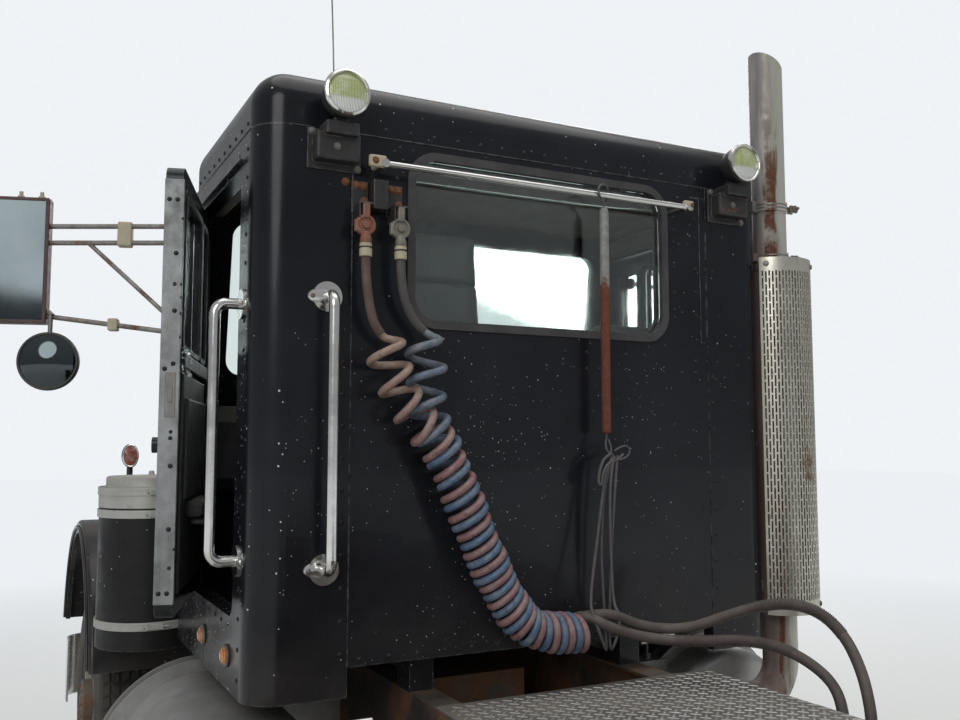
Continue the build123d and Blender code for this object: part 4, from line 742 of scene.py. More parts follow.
class TRACTOR_OT_stage(bpy.types.Operator):
    """Sets the pale floor, the soft light and the camera"""
    bl_idname = "tractor.stage"
    bl_label = "Set the stage"

    def execute(self, context):
        stage = context.scene.tractor_stage
        start_fresh()
        bpy.ops.mesh.primitive_plane_add(size=90, location=ORIGIN)
        floor = bpy.context.object
        floor.name = "floor"
        material, g = new_material("floor")
        near = g.node("BsdfPrincipled", {"Base Color": stage.floor, "Roughness": 0.9})
        away = g.node("VectorMath", {0: g.place()}, operation="LENGTH").outputs["Value"]
        light = g.node("LightPath").outputs
        seen = g.math("MAXIMUM", light["Is Transmission Ray"], light["Is Glossy Ray"])
        seen = g.math("MAXIMUM", light["Is Camera Ray"], seen)
        far = g.times(g.ramp(away, 4.0, 11.0), seen)
        haze = g.node("Emission", {"Color": (0.84, 0.87, 0.9, 1), "Strength": 1.0})
        g.close(g.node("MixShader", {0: far, 1: near.outputs[0], 2: haze.outputs[0]}))
        floor.data.materials.append(material)

        world = bpy.data.worlds.new("room")
        context.scene.world = world
        world.use_nodes = True
        g = Graph(world.node_tree)
        light = g.node("LightPath").outputs
        seen = g.math("MAXIMUM", light["Is Camera Ray"], light["Is Transmission Ray"])
        up = g.parts(g.node("TexCoord").outputs["Generated"])[2]
        glow = g.mix(g.ramp(up, -0.1, 0.7), (0.62, 0.65, 0.68, 1), (0.95, 0.98, 1.0, 1))
        room = g.node("Background", {"Color": glow, "Strength": stage.sky})
        pale = g.node("Background", {"Color": (0.86, 0.89, 0.92, 1), "Strength": 1.0})
        g.close(g.node("MixShader", {0: seen, 1: room.outputs[0], 2: pale.outputs[0]}), "World")

        lamps = (
            # name, place, aim, size, share of the key light's power
            ("key", (-6.5, -7.0, 6.5), (0, 0.5, 1.6), 6.0, 1.0),
            ("top", (0.5, 0.5, 9.0), (0, 0.5, 1.0), 9.0, 0.9),
            ("front", (5.5, 8.5, 6.0), (0, 2.0, 1.2), 6.0, 1.0),
        )
        for name, place, aim, size, share in lamps:
            start_fresh()
            bpy.ops.object.light_add(type="AREA", location=place)
            lamp = bpy.context.object
            lamp.name = name
            lamp.data.shape = "DISK"
            lamp.data.size = size
            lamp.data.energy = stage.key * share
            toward = Vector(aim) - Vector(place)
            lamp.rotation_euler = toward.to_track_quat("-Z", "Y").to_euler()

        start_fresh()
        bpy.ops.object.camera_add(location=(-1.5805, -2.0697, 1.73),
            rotation=(math.radians(90 + 4.954), 0, math.radians(-27.196)))
        camera = bpy.context.object
        camera.data.lens = 35.29
        camera.data.sensor_width = 36.0
        context.scene.camera = camera
        context.scene.view_settings.view_transform = "Standard"
        return {"FINISHED"}


# The air hoses: both routes' points stand in the CAD source too, in millimetres

RED_TOP = ((-0.648, 0.468, 2.3), (-0.648, 0.468, 2.222), (-0.64, 0.464, 2.14),
    (-0.622, 0.47, 2.07))
BLUE_TOP = ((-0.539, 0.468, 2.3), (-0.539, 0.468, 2.225), (-0.527, 0.472, 2.148),
    (-0.492, 0.48, 2.085), (-0.45, 0.472, 2.046))
COIL_ROUTE = ((-0.425, 0.442, 1.735), (-0.305, 0.438, 1.46), (-0.205, 0.44, 1.245),
    (-0.085, 0.44, 1.137), (0.112, 0.44, 1.137))
RED_COIL = ((-0.598, 0.44, 2.03), (-0.592, 0.44, 1.95), (-0.51, 0.44, 1.805)) + COIL_ROUTE
BLUE_COIL = ((-0.47, 0.44, 2.03), (-0.468, 0.44, 1.93), (-0.462, 0.44, 1.8)) + COIL_ROUTE
RED_TAIL = ((0.104, 0.42, 1.194), (0.138, 0.396, 1.196), (0.18, 0.394, 1.184),
    (0.24, 0.396, 1.156), (0.318, 0.362, 1.14), (0.385, 0.3, 1.15), (0.452, 0.25, 1.182),
    (0.52, 0.19, 1.216), (0.59, 0.105, 1.242), (0.645, 0.025, 1.222), (0.664, -0.05, 1.16),
    (0.65, -0.115, 1.08), (0.622, -0.162, 1.012), (0.6, -0.19, 0.952), (0.6, -0.19, 0.88))
BLUE_TAIL = ((0.088, 0.414, 1.186), (0.112, 0.386, 1.168), (0.188, 0.38, 1.136),
    (0.3, 0.35, 1.111), (0.4, 0.27, 1.112), (0.487, 0.195, 1.122), (0.56, 0.125, 1.112),
    (0.606, 0.05, 1.08), (0.622, -0.04, 1.03), (0.6, -0.095, 0.96), (0.6, -0.095, 0.88))
# Control points to a turn of the coils and of the spring guards
TURN_POINTS = 16
SPRING_POINTS = 10


def line_of(name, points):
    """The points of the smooth line that a route's control points give."""
    curve = bpy.data.curves.new(name, "CURVE")
    curve.dimensions = "3D"
    curve.resolution_u = 12
    fill_spline(curve, points)
    route = bpy.data.objects.new(name, curve)
    mesh = bpy.data.meshes.new_from_object(route)
    line = [vertex.co.copy() for vertex in mesh.vertices]
    bpy.data.meshes.remove(mesh)
    bpy.data.objects.remove(route)
    bpy.data.curves.remove(curve)
    return line


def lengths_of(line):
    return [(b - a).length for a, b in zip(line, line[1:])]


def part_of(line, start, end):
    """The stretch of a line between two lengths along it, from its end where negative."""
    lengths = lengths_of(line)
    start, end = start % sum(lengths), end % sum(lengths)
    kept, travelled = [], 0.0
    for point, length in zip(line, lengths):
        if start <= travelled <= end:
            kept.append(point)
        travelled += length
    return kept


def square_to(along, side):
    """Two directions square to a line, the first as near to side as can be."""
    side = (side - along * side.dot(along)).normalized()
    return side, along.cross(side)


def on_ring(middle, side, up, radius, turn):
    return middle + side * radius * math.cos(turn) + up * radius * math.sin(turn)


def coil_points(line, start_turn, hose, tightest):
    """The turns of one hose round its coils' middle line, as control points, up to a crest."""
    lengths = lengths_of(line)
    total = sum(lengths)
    # the share of the line that hangs stretched, and the share over which the coils then close
    stretched, closing_share = 0.12, 0.5
    # the first coil's share of the radius, and the lengths over which a whole radius opens, closes
    first_share, opens_over, closes_over = 0.72, 0.12, 0.09

    def at(distance):
        for a, b, length in zip(line, line[1:], lengths):
            if distance <= length:
                return a.lerp(b, distance / length), (b - a).normalized()
            distance -= length
        return line[-1].copy(), (line[-1] - line[-2]).normalized()

    points, turns = [], []
    travelled, turn = 0.0, start_turn
    side = Vector(AHEAD)
    while travelled < total:
        closed = min(1, max(0, (travelled / total - stretched) / closing_share))
        pitch = hose.top_pitch + (hose.low_pitch - hose.top_pitch) * closed
        middle, along = at(travelled)
        side, up = square_to(along, side)
        opening = min(1, first_share + travelled / opens_over)
        closing = min(1, tightest + (total - travelled) / closes_over)
        radius = hose.coil_radius * min(opening, closing)
        # no two coils are quite the same
        radius *= 1 + 0.05 * math.sin(turn * 0.31) + 0.03 * math.sin(turn * 0.83)
        points.append(on_ring(middle, side, up, radius, turn))
        turns.append(turn)
        turn += 2 * math.pi / TURN_POINTS
        travelled += pitch / TURN_POINTS
    while abs(turns[-1] % (2 * math.pi) - math.pi / 2) > math.pi / TURN_POINTS:
        points.pop()
        turns.pop()
    return points


def spring_points(line, radius, pitch):
    """The turns of a wound spring guard along a stretch of a hose, as control points."""
    points, turn, side = [], 0.0, Vector(UP)
    for a, b in zip(line, line[1:]):
        along = (b - a).normalized()
        steps = max(1, round((b - a).length / pitch * SPRING_POINTS))
        for step in range(steps):
            side, up = square_to(along, side)
            points.append(on_ring(a.lerp(b, step / steps), side, up, radius, turn))
            turn += 2 * math.pi / SPRING_POINTS
    return points


class TRACTOR_OT_hoses(bpy.types.Operator):
    """Hangs the two coiled air hoses on the cab's back, with their sleeves and spring guards"""
    bl_idname = "tractor.hoses"
    bl_label = "Hang the air hoses"

    def execute(self, context):
        hose = context.scene.tractor_hoses
        hoses = (
            # name, top points, coils' middle line, first turn, last radius, tail points, nodes
            ("red", RED_TOP, RED_COIL, 0.28, 0.8, RED_TAIL,
                ("hose_red_upper", "hose_red_lower", "hose_coils")),
            ("blue", BLUE_TOP, BLUE_COIL, 1.75, 0.7, BLUE_TAIL,
                ("hose_blue_upper", "hose_blue_lower")),
        )
        fittings = (
            # name, finish, start and end along the hose (from its end where negative), radius
            ("top_red", "sleeve", 0.028, 0.27, 0.014),
            ("tail_red", "tail_sleeve", -1.26, -0.03, 0.0165),
            ("top_blue", "grey_sleeve", 0.028, 0.27, 0.014),
            ("tail_blue", "tail_sleeve", -1.02, -0.03, 0.0165),
        )
        # where each hose's spring guard starts and ends, counted back from the hose's end
        springs = {"red": (-0.62, -0.33), "blue": (-0.66, -0.3)}
        spring_radius, spring_pitch, spring_wire = 0.0175, 0.0056, 0.0021
        for name, top, coil_line, first_turn, tightest, tail, nodes in hoses:
            middle = line_of(name + "_coils", coil_line)
            turns = coil_points(middle, first_turn, hose, tightest)
            points = [Vector(p) for p in top] + turns + [Vector(p) for p in tail]
            curve = bpy.data.curves.new("hose_" + name, "CURVE")
            curve.dimensions = "3D"
            curve.resolution_u = 3
            curve.bevel_depth = hose.diameter / 2
            curve.bevel_resolution = 3
            curve.use_fill_caps = True
            fill_spline(curve, points)
            piece = bpy.data.objects.new("hose_" + name, curve)
            context.scene.collection.objects.link(piece)
            dress(piece, name + "_hose", "chassis", nodes)
            line = line_of(name + "_line", points)
            for label, colour, start, end, radius in fittings:
                if label.endswith(name):
                    bare = part_of(line, start, end)
                    sleeve = tube("sleeve_" + label, bare[::3] + [bare[-1]], radius, resolution=2)
                    dress(sleeve, colour)
            wound = spring_points(part_of(line, *springs[name]), spring_radius, spring_pitch)
            spring = tube("spring_" + name, wound, spring_wire, sides=1, resolution=1)
            dress(spring, "tail_sleeve")
            swivel = turned("swivel_" + name, tail[-1], UP, ((0, -0.002), (0.019, -0.002),
                (0.019, 0.014), (0.015, 0.02), (0.017, 0.026), (0.017, 0.046), (0.013, 0.05)), 24)
            dress(swivel, "brass")
        return {"FINISHED"}


class TRACTOR_OT_outlets(bpy.types.Operator):
    """Hangs the two couplings that the air hoses start from"""
    bl_idname = "tractor.outlets"
    bl_label = "Hang the air couplings"

    def execute(self, context):
        plates, bolts, bands = [], [], []
        for number, (x, colour) in enumerate(((-0.648, "orange_cast"), (-0.539, "pale_cast"))):
            head = turned("coupling_head", (x, 0.486, 2.356), BACK, ((0, 0), (0.028, 0),
                (0.031, 0.004), (0.031, 0.018), (0.027, 0.022), (0.024, 0.022), (0.022, 0.017),
                (0.012, 0.017), (0.01, 0.026), (0, 0.027)), 28)
            neck = turned("coupling_neck", (x, 0.468, 2.3), UP, ((0, 0.03), (0.013, 0.034),
                (0.015, 0.02), (0.017, 0.018), (0.017, 0.004), (0.0145, 0)), 20)
            lug = block("coupling_lug", (x - 0.01, 0.462, 2.376), (x + 0.012, 0.484, 2.424), 0.004)
            ear = block("coupling_ear", (x - 0.033, 0.466, 2.335),
                (x - 0.018, 0.482, 2.372), 0.005)
            fit(f"coupling_{number}", [head, neck, lug, ear], colour)
            plates += [
                block("plate", (x - 0.026, 0.522, 2.4), (x + 0.026, 0.53, 2.498), 0.002),
                block("shelf", (x - 0.022, 0.462, 2.418), (x + 0.02, 0.526, 2.424), 0.002),
                block("cheek", (x - 0.022, 0.462, 2.376), (x - 0.018, 0.526, 2.424), 0.0015),
            ]
            bolts += [(x - 0.012, 0.522, 2.485), (x + 0.012, 0.522, 2.485),
                (x + 0.014, 0.522, 2.44)]
            for z, radius, tall in ((2.262, 0.0185, 0.025), (2.291, 0.018, 0.011)):
                bands.append(turned("hose_band", (x, 0.468, z), UP, ((0.0165, 0), (radius, 0.001),
                    (radius, tall - 0.001), (0.0165, tall)), 24))
        holder = block("holder", (-0.618, 0.484, 2.412), (-0.572, 0.53, 2.5), 0.002)
        edit(holder)
        bpy.ops.mesh.select_all(action="DESELECT")
        leave_edit()
        for face in holder.data.polygons:
            face.select = face.normal.z > 0.95 and face.area > 0.001
        bpy.ops.object.mode_set(mode="EDIT")
        bpy.ops.mesh.inset(thickness=0.004)
        extrude((0, 0, -0.05))
        leave_edit()
        fit("coupling_brackets", plates + [holder], "bracket", replaces=["air_outlets"])
        bolts.append((-0.69, 0.53, 2.494))
        scatter("coupling_bolts", hex_bolt("bolt", BACK, 0.009), bolts, "rusty")
        fit("hose_bands", bands, "cream")
        return {"FINISHED"}


class TRACTOR_OT_tender(bpy.types.Operator):
    """Hangs the hose tender: a hook, a rod and loops of cord that hold up the hoses"""
    bl_idname = "tractor.tender"
    bl_label = "Hang the hose tender"

    def execute(self, context):
        rod = turned("tender_rod", (0.184, 0.466, 1.756), UP, ((0.004, 0), (0.011, 0.001),
            (0.015, 0.006), (0.0155, 0.05), (0.015, 0.35), (0.0155, 0.52), (0.0148, 0.735),
            (0.011, 0.744), (0.004, 0.745)), 20)
        dress(rod, "tender", replaces=["hose_tender"])
        wires = [
            tube("hook", ((0.184, 0.466, 2.498), (0.184, 0.466, 2.52), (0.16, 0.455, 2.535),
                (0.15, 0.452, 2.56), (0.172, 0.456, 2.58), (0.2, 0.466, 2.574),
                (0.21, 0.478, 2.548), (0.204, 0.488, 2.525)), 0.0032),
            tube("eye", ((0.184, 0.466, 1.758), (0.184, 0.466, 1.742), (0.176, 0.462, 1.728),
                (0.176, 0.455, 1.7), (0.19, 0.452, 1.69), (0.196, 0.456, 1.715),
                (0.188, 0.464, 1.738)), 0.0034),
            tube("ring", ((0.19, 0.455, 1.698), (0.205, 0.448, 1.672), (0.232, 0.446, 1.672),
                (0.262, 0.446, 1.69), (0.256, 0.446, 1.716), (0.226, 0.446, 1.716),
                (0.204, 0.45, 1.7)), 0.0032),
        ]
        fit("tender_hooks", wires, "dark_wire")
        strands = [
            tube("loop", ((0.19, 0.452, 1.69), (0.16, 0.446, 1.68), (0.14, 0.444, 1.64),
                (0.134, 0.444, 1.596), (0.148, 0.444, 1.59), (0.152, 0.444, 1.63),
                (0.178, 0.446, 1.665), (0.212, 0.45, 1.668), (0.236, 0.448, 1.69)), 0.0048),
            tube("left", ((0.196, 0.45, 1.68), (0.166, 0.448, 1.64), (0.152, 0.446, 1.56),
                (0.122, 0.44, 1.4), (0.084, 0.425, 1.232), (0.084, 0.4, 1.19), (0.1, 0.392, 1.14),
                (0.128, 0.402, 1.086), (0.15, 0.43, 1.084), (0.168, 0.462, 1.13),
                (0.164, 0.462, 1.22), (0.15, 0.458, 1.4), (0.166, 0.452, 1.62),
                (0.196, 0.45, 1.672)), 0.005),
            tube("right", ((0.2, 0.448, 1.68), (0.178, 0.444, 1.62), (0.176, 0.44, 1.4),
                (0.176, 0.43, 1.22), (0.172, 0.392, 1.196), (0.166, 0.384, 1.15),
                (0.15, 0.392, 1.096), (0.156, 0.42, 1.08), (0.18, 0.456, 1.13),
                (0.182, 0.456, 1.24), (0.194, 0.45, 1.5), (0.212, 0.45, 1.668)), 0.0048),
        ]
        fit("tender_cords", strands, "dark_wire")
        return {"FINISHED"}


# The cab's outside

ROOF_RIVETS = (-0.563, -0.483, -0.403, -0.322, -0.241, -0.163, -0.082, -0.004, 0.078, 0.158,
    0.239, 0.318, 0.399, 0.478, 0.558, 0.626)
BACK_RIVETS = (
    # x, z on the cab's back
    (0.62, 2.522), (0.62, 2.456), (0.62, 2.341), (0.62, 2.259), (0.62, 2.176),
    (0.62, 2.088), (0.525, 2.474), (0.525, 2.43), (0.525, 2.341), (0.525, 2.252),
    (0.525, 2.163), (0.153, 1.97), (0.205, 1.97), (0.311, 1.97), (0.391, 1.97),
    (0.472, 1.97), (0.551, 1.97), (0.613, 1.97), (0.072, 2.024), (0.154, 2.024),
    (0.312, 2.024), (0.392, 2.024), (0.614, 2.012), (0.664, 2.012), (0.713, 2.012),
    (-0.535, 2.605), (-0.527, 2.523), (0.478, 2.061), (0.7, 2.34),
)


def rivet(axis):
    return turned("rivet", ORIGIN, axis, ((0, 0.0036), (0.004, 0.0031), (0.0066, 0.0014),
        (0.0072, 0)), 10)


def hex_bolt(name, axis, size, length=0.0):
    """A bolt head on a washer, seen from its axis, with its threaded end where it has one."""
    head = smooth(turned(name, ORIGIN, axis, ((0, size * 0.75), (size * 0.82, size * 0.72),
        (size, size * 0.6), (size, 0.001)), 6), 20)
    washer = turned("washer", ORIGIN, axis, ((size * 0.5, size * 0.2), (size * 1.35, size * 0.2),
        (size * 1.42, 0.0)), 18)
    parts = [head, washer]
    if length:
        parts.append(turned("thread", ORIGIN, axis, ((0, length), (size * 0.42, length * 0.97),
            (size * 0.45, 0)), 12))
    return join(name, parts)


class TRACTOR_OT_rivets(bpy.types.Operator):
    """Sets the rivets and the seam strips of the cab's skin"""
    bl_idname = "tractor.rivets"
    bl_label = "Set the rivets and seams"

    def execute(self, context):
        back = CAB_BACK + 0.0002
        spots = [(x, back, 2.668) for x in ROOF_RIVETS]
        spots += [(x, back, z) for x, z in BACK_RIVETS]
        spots += [(0.655, back, 2.7), (0.655, back, 2.64)]
        spots += [(side * 0.69, back, 1.13 + 0.092 * n) for side in SIDES for n in range(10)]
        spots += [(x * 0.09, back, 1.112) for x in range(-7, 8)]
        scatter("back_rivets", rivet(BACK), spots, "cab")
        for side, name in ((-1, "left"), (1, "right")):
            skin = side * (CAB_SIDE + 0.0002)
            spots = [(skin, 0.66 + 0.081 * n, 2.668) for n in range(10)]
            spots += [(skin, 0.655, 1.06 + 0.085 * n) for n in range(19)]
            spots += [(skin, 0.78 + 0.09 * n, 1.195) for n in range(8)]
            spots += [(skin, 1.545, 1.06 + 0.085 * n) for n in range(10)]
            scatter("rivets_" + name, rivet((side, 0, 0)), spots, "cab")
        front = [(side * (0.09 + 0.09 * n), CAB_FRONT, z)
            for side in SIDES for n in range(9) for z in (1.06, 1.875)]
        scatter("front_rivets", rivet(AHEAD), front, "cab")
        strips = [
            block("seam", (0.637, 0.528, 2.079), (0.664, 0.5305, 2.598), 0.001, 1),
            block("seam", (0.6, 0.5275, 2.598), (0.7, 0.5305, 2.604), 0.001, 1),
            bar("seam", (-0.668, 0.53, 1.1), (-0.668, 0.53, 2.64), 0.0022, 8),
            bar("seam", (0.668, 0.53, 1.1), (0.668, 0.53, 2.64), 0.0022, 8),
            bar("seam", (-0.85, 0.53, ROOF_SEAM), (0.85, 0.53, ROOF_SEAM), 0.0028, 8),
            bar("seam", (-0.95, 0.63, ROOF_SEAM), (-0.95, 1.48, ROOF_SEAM), 0.0028, 8),
            bar("seam", (0.95, 0.63, ROOF_SEAM), (0.95, 1.48, ROOF_SEAM), 0.0028, 8),
        ]
        fit("seam_strips", strips, "cab")
        gutters = []
        for side in SIDES:
            x = side * 0.955
            gutters += [
                block("gutter", (x - 0.008, 0.7, 2.566), (x + 0.008, 1.478, 2.572), 0.002, 1),
                block("gutter", (x + side * 0.006, 0.7, 2.566), (x + side * 0.009, 1.478, 2.584),
                    0.001, 1),
            ]
        fit("rain_gutters", gutters, "cab")
        return {"FINISHED"}


class TRACTOR_OT_back_fittings(bpy.types.Operator):
    """Fits the bar's end plates, the handles' foot plates and the bar inside the rear window"""
    bl_idname = "tractor.back_fittings"
    bl_label = "Fit the bars' ends"

    def execute(self, context):
        plates = [
            block("end", (-0.64, 0.461, 2.532), (-0.586, 0.479, 2.568), 0.006),
            block("end", (0.522, 0.461, 2.534), (0.562, 0.479, 2.568), 0.006),
            block("foot", (-0.612, 0.478, 2.538), (-0.59, 0.53, 2.56), 0.003),
            block("foot", (0.536, 0.478, 2.538), (0.558, 0.53, 2.56), 0.003),
        ]
        fit("bar_end_plates", plates, "cream")
        scatter("bar_end_bolts", hex_bolt("bolt", BACK, 0.0075),
            ((-0.622, 0.461, 2.55), (0.55, 0.461, 2.55)), "rusty")
        inner = tube("inner_bar", ((-0.452, 0.6, 2.542), (-0.2, 0.6, 2.542), (0.2, 0.6, 2.543),
            (0.36, 0.6, 2.547), (0.42, 0.6, 2.556), (0.5, 0.6, 2.56)), 0.0045)
        dress(inner, "bright")
        handles = (
            # name, centre of each foot, its axis, the way that its plate is long
            ("back_handle", (-0.756, CAB_BACK, (1.37, 2.147)), BACK, RIGHT),
            ("side_handle", (-CAB_SIDE, 0.675, (1.39, 2.13)), LEFT, AHEAD),
        )
        for name, (x, y, heights), axis, long in handles:
            feet, screws = [], []
            for z in heights:
                foot = turned("foot", ORIGIN, axis, ((0, 0.011), (0.014, 0.01), (0.022, 0.007),
                    (0.0245, 0.003), (0.0245, 0)), 32)
                foot.scale = [1 + 0.85 * part for part in long]
                feet.append(placed(foot, (x, y, z)))
                spot = Vector((x, y, z)) + Vector(axis) * 0.0085
                screws += [spot - Vector(long) * 0.03, spot + Vector(long) * 0.034]
            fit(name + "_feet", feet, "bright")
            scatter(name + "_screws", rivet(axis), screws, "worn_steel")
        return {"FINISHED"}


class TRACTOR_OT_lamps(bpy.types.Operator):
    """Fits the work lamps, the roof lamps and the side markers"""
    bl_idname = "tractor.lamps"
    bl_label = "Fit the cab's lamps"

    def execute(self, context):
        bowls, rims, lenses, brackets, bolts = [], [], [], [], []
        for x in (-0.724, 0.764):
            centre = (x, 0.48, 2.722)
            bowls.append(turned("bowl", centre, BACK, ((0, -0.034), (0.02, -0.034), (0.04, -0.026),
                (0.056, -0.008), (0.062, 0.02), (0.064, 0.052), (0.06, 0.056)), 40))
            rims.append(turned("rim", centre, BACK, ((0.063, 0.044), (0.068, 0.046), (0.07, 0.056),
                (0.067, 0.064), (0.061, 0.067), (0.057, 0.063), (0.056, 0.058)), 48))
            lenses.append(turned("lens", centre, BACK, ((0, 0.068), (0.02, 0.0672), (0.04, 0.064),
                (0.054, 0.059), (0.058, 0.057)), 48))
            brackets += [
                block("bracket", (x - 0.05, 0.452, 2.61), (x + 0.05, 0.53, 2.648), 0.005),
                block("post", (x - 0.022, 0.47, 2.64), (x + 0.022, 0.51, 2.664), 0.004),
                block("box", (x - 0.07, 0.478, 2.54), (x + 0.062, 0.53, 2.622), 0.008),
                block("flange", (x - 0.086, 0.524, 2.52), (x + 0.078, 0.531, 2.64), 0.003),
            ]
            bolts += [(x - 0.072, 0.524, 2.63), (x + 0.068, 0.524, 2.532), (x - 0.01, 0.478, 2.58)]
        fit("work_lamp_bowls", bowls, "plastic", replaces=["cab_lamps"])
        fit("work_lamp_rims", rims, "bright")
        fit("work_lamp_lenses", lenses, lens_finish("work_lens", (0.5, 0.56, 0.22, 1),
            (0.86, 0.88, 0.84, 1), 420, 2.705))
        fit("work_lamp_brackets", brackets, "bracket")
        scatter("work_lamp_bolts", hex_bolt("bolt", BACK, 0.008), bolts, "worn_steel")

        amber = lens_finish("amber_lens", (0.55, 0.13, 0.015, 1), (0.72, 0.22, 0.02, 1), 300, 9)
        bases, domes = [], []
        for side in SIDES:
            for place in ((side * CAB_SIDE, 0.782, 1.105), (side * CAB_SIDE, 1.124, 1.105)):
                bases.append(turned("base", place, (side, 0, 0), ((0.032, 0), (0.034, 0.004),
                    (0.03, 0.009), (0.026, 0.01)), 28))
                domes.append(turned("dome", place, (side, 0, 0), ((0, 0.0225), (0.012, 0.021),
                    (0.022, 0.016), (0.0262, 0.009)), 28))
        for x in (-0.7, -0.35, 0.0, 0.35, 0.7):
            place = (x, 1.36, 2.82)
            bases.append(turned("base", place, UP, ((0.047, 0), (0.047, 0.006), (0.04, 0.01),
                (0.036, 0.011)), 28))
            domes.append(turned("dome", place, UP, ((0, 0.032), (0.016, 0.03), (0.03, 0.022),
                (0.036, 0.01)), 28))
        fit("marker_bases", bases, "worn_steel")
        dress(tube("whip_aerial", ((-0.722, 0.545, 2.64), (-0.726, 0.545, 2.9),
            (-0.742, 0.545, 3.195)), 0.0022, resolution=12), "worn_steel")
        fit("marker_lenses", domes, amber)
        return {"FINISHED"}


class TRACTOR_OT_exhaust(bpy.types.Operator):
    """Makes the slotted guard, the clamps and the bolts of the exhaust"""
    bl_idname = "tractor.exhaust"
    bl_label = "Fit the exhaust guard"

    def execute(self, context):
        x, y = STACK
        guard = slotted_guard("exhaust_guard_plate", 0.144, 198, 1.11, 2.41)
        placed(guard, (x, y, 0), (0, 0, 39))
        dress(guard, "guard", replaces=["exhaust_guard"])
        bands, bolts, heads = [], [], []
        for z in (1.14, 2.386):
            at = Vector((x, y, z))
            bands.append(turned("band", (x, y, z), UP, ((0.0835, -0.011), (0.0865, -0.011),
                (0.0865, 0.011), (0.0835, 0.011), (0.0835, -0.011)), 40))
            for angle in (-140, -51, 38):
                out = Vector((math.cos(math.radians(angle)), math.sin(math.radians(angle)), 0))
                bands.append(bar("spacer", at + out * 0.084, at + out * 0.143, 0.007, 10))
                bolts.append(at + out * 0.146)
        lug, pin = x + 0.066, x + 0.066 + 0.022
        for z in (2.427, 2.622):
            bands.append(turned("clamp", (x, y, z), UP, ((0.064, -0.016), (0.069, -0.015),
                (0.07, -0.004), (0.0672, 0.0), (0.07, 0.004), (0.069, 0.015), (0.064, 0.016)), 40))
            for near, far in ((0.05, 0.04), (0.026, 0.016)):
                bands.append(block("lug", (lug, y - near, z - 0.014),
                    (lug + 0.036, y - far, z + 0.014), 0.003))
            bands.append(bar("bolt", (pin, y - 0.068, z), (pin, y - 0.004, z), 0.0055, 12))
            bands.append(placed(hex_bolt("nut", BACK, 0.0105), (pin, y - 0.05, z)))
        for end, low, high in ((x - 0.063, 2.6, 2.644), (x - 0.08, 1.18, 1.22)):
            bands.append(block("stay", (CAB_SIDE, 0.585, low), (end, 0.605, high), 0.004))
        fit("exhaust_clamps", bands, "worn_steel")
        for place in bolts:
            out = (place - Vector((x, y, place.z))).normalized()
            heads.append(placed(hex_bolt("head", out, 0.008), place))
        fit("exhaust_guard_bolts", heads, "worn_steel")
        return {"FINISHED"}


def slotted_guard(name, radius, sweep, low, high):
    """A curved plate of staggered upright slots, its middle towards -Y and its axis on Z."""
    wide, tall = 0.024, 0.048
    slot, bridge, slot_end = 0.006, 0.0032, 0.0208
    # the plain height that is left over at both ends, and the plate's thickness
    plain, thickness = 0.08, 0.003
    upright = (math.pi / 2, 0, 0)
    panel = plane(name, (wide, 1, tall), ORIGIN, upright)
    edit(panel)
    for x in (-slot, 0.0, slot):
        select_whole()
        bpy.ops.mesh.bisect(plane_co=(x, 0, 0), plane_no=RIGHT)
    for z in (-slot_end, -bridge, bridge, slot_end):
        select_whole()
        bpy.ops.mesh.bisect(plane_co=(0, 0, z), plane_no=UP)
    bpy.ops.mesh.select_all(action="DESELECT")
    leave_edit()
    bpy.context.tool_settings.mesh_select_mode = (False, False, True)
    for face in panel.data.polygons:
        x, z = face.center.x, abs(face.center.z)
        face.select = (x < -slot and z > bridge) or (0 < x < slot and z < slot_end)
    bpy.ops.object.mode_set(mode="EDIT")
    bpy.ops.mesh.delete(type="FACE")
    leave_edit()
    bpy.context.tool_settings.mesh_select_mode = (True, False, False)
    columns = int(radius * math.radians(sweep) / wide)
    rows = int((high - low - plain) / tall)
    for count, step in ((columns, (wide, 0, 0)), (rows, (0, 0, tall))):
        array(panel, count, step, use_merge_vertices=True, merge_threshold=0.0002)
    half = radius * math.radians(sweep) / 2
    middle = (low + high) / 2
    corners = [Vector(corner) for corner in panel.bound_box]
    panel.location = (-(corners[0].x + corners[6].x) / 2, 0,
        middle - (corners[0].z + corners[6].z) / 2)
    settle(panel)
    left = min(v.co.x for v in panel.data.vertices)
    bottom = min(v.co.z for v in panel.data.vertices)
    top = max(v.co.z for v in panel.data.vertices)
    parts = [panel]
    margins = (
        # size and middle of the plain edges: left, right, below, above
        ((half + left, 1, high - low), (-(half - left) / 2, 0, middle)),
        ((half + left, 1, high - low), ((half - left) / 2, 0, middle)),
        ((-2 * left, 1, bottom - low), (0, 0, (low + bottom) / 2)),
        ((-2 * left, 1, high - top), (0, 0, (high + top) / 2)),
    )
    for size, at in margins:
        margin = plane("margin", size, at, upright)
        edit(margin)
        # the two wide ones need cuts enough to bend with the plate
        bpy.ops.mesh.subdivide(number_cuts=39 if size[0] > 0.1 else 1)
        leave_edit()
        parts.append(margin)
    sheet = join(name, parts)
    apply_modifier(sheet, "SOLIDIFY", thickness=thickness, offset=0.0)
    apply_modifier(sheet, "SIMPLE_DEFORM", deform_method="BEND", deform_axis="Z",
        angle=math.radians(sweep))
    return smooth(placed(sheet, (0, -radius, 0)), 30)


# The doors and mirrors: modelled for the left door as it stands shut, then swung or mirrored

HINGE = (-0.964, 1.463)
LEFT_AJAR = 17
DOOR_IN, DOOR_OUT = -0.9, -0.95
DOOR_BACK = 0.739
PANES = ((0.801, 1.22), (1.246, 1.392))
PANE_LOW, PANE_HIGH = 2.01, 2.482


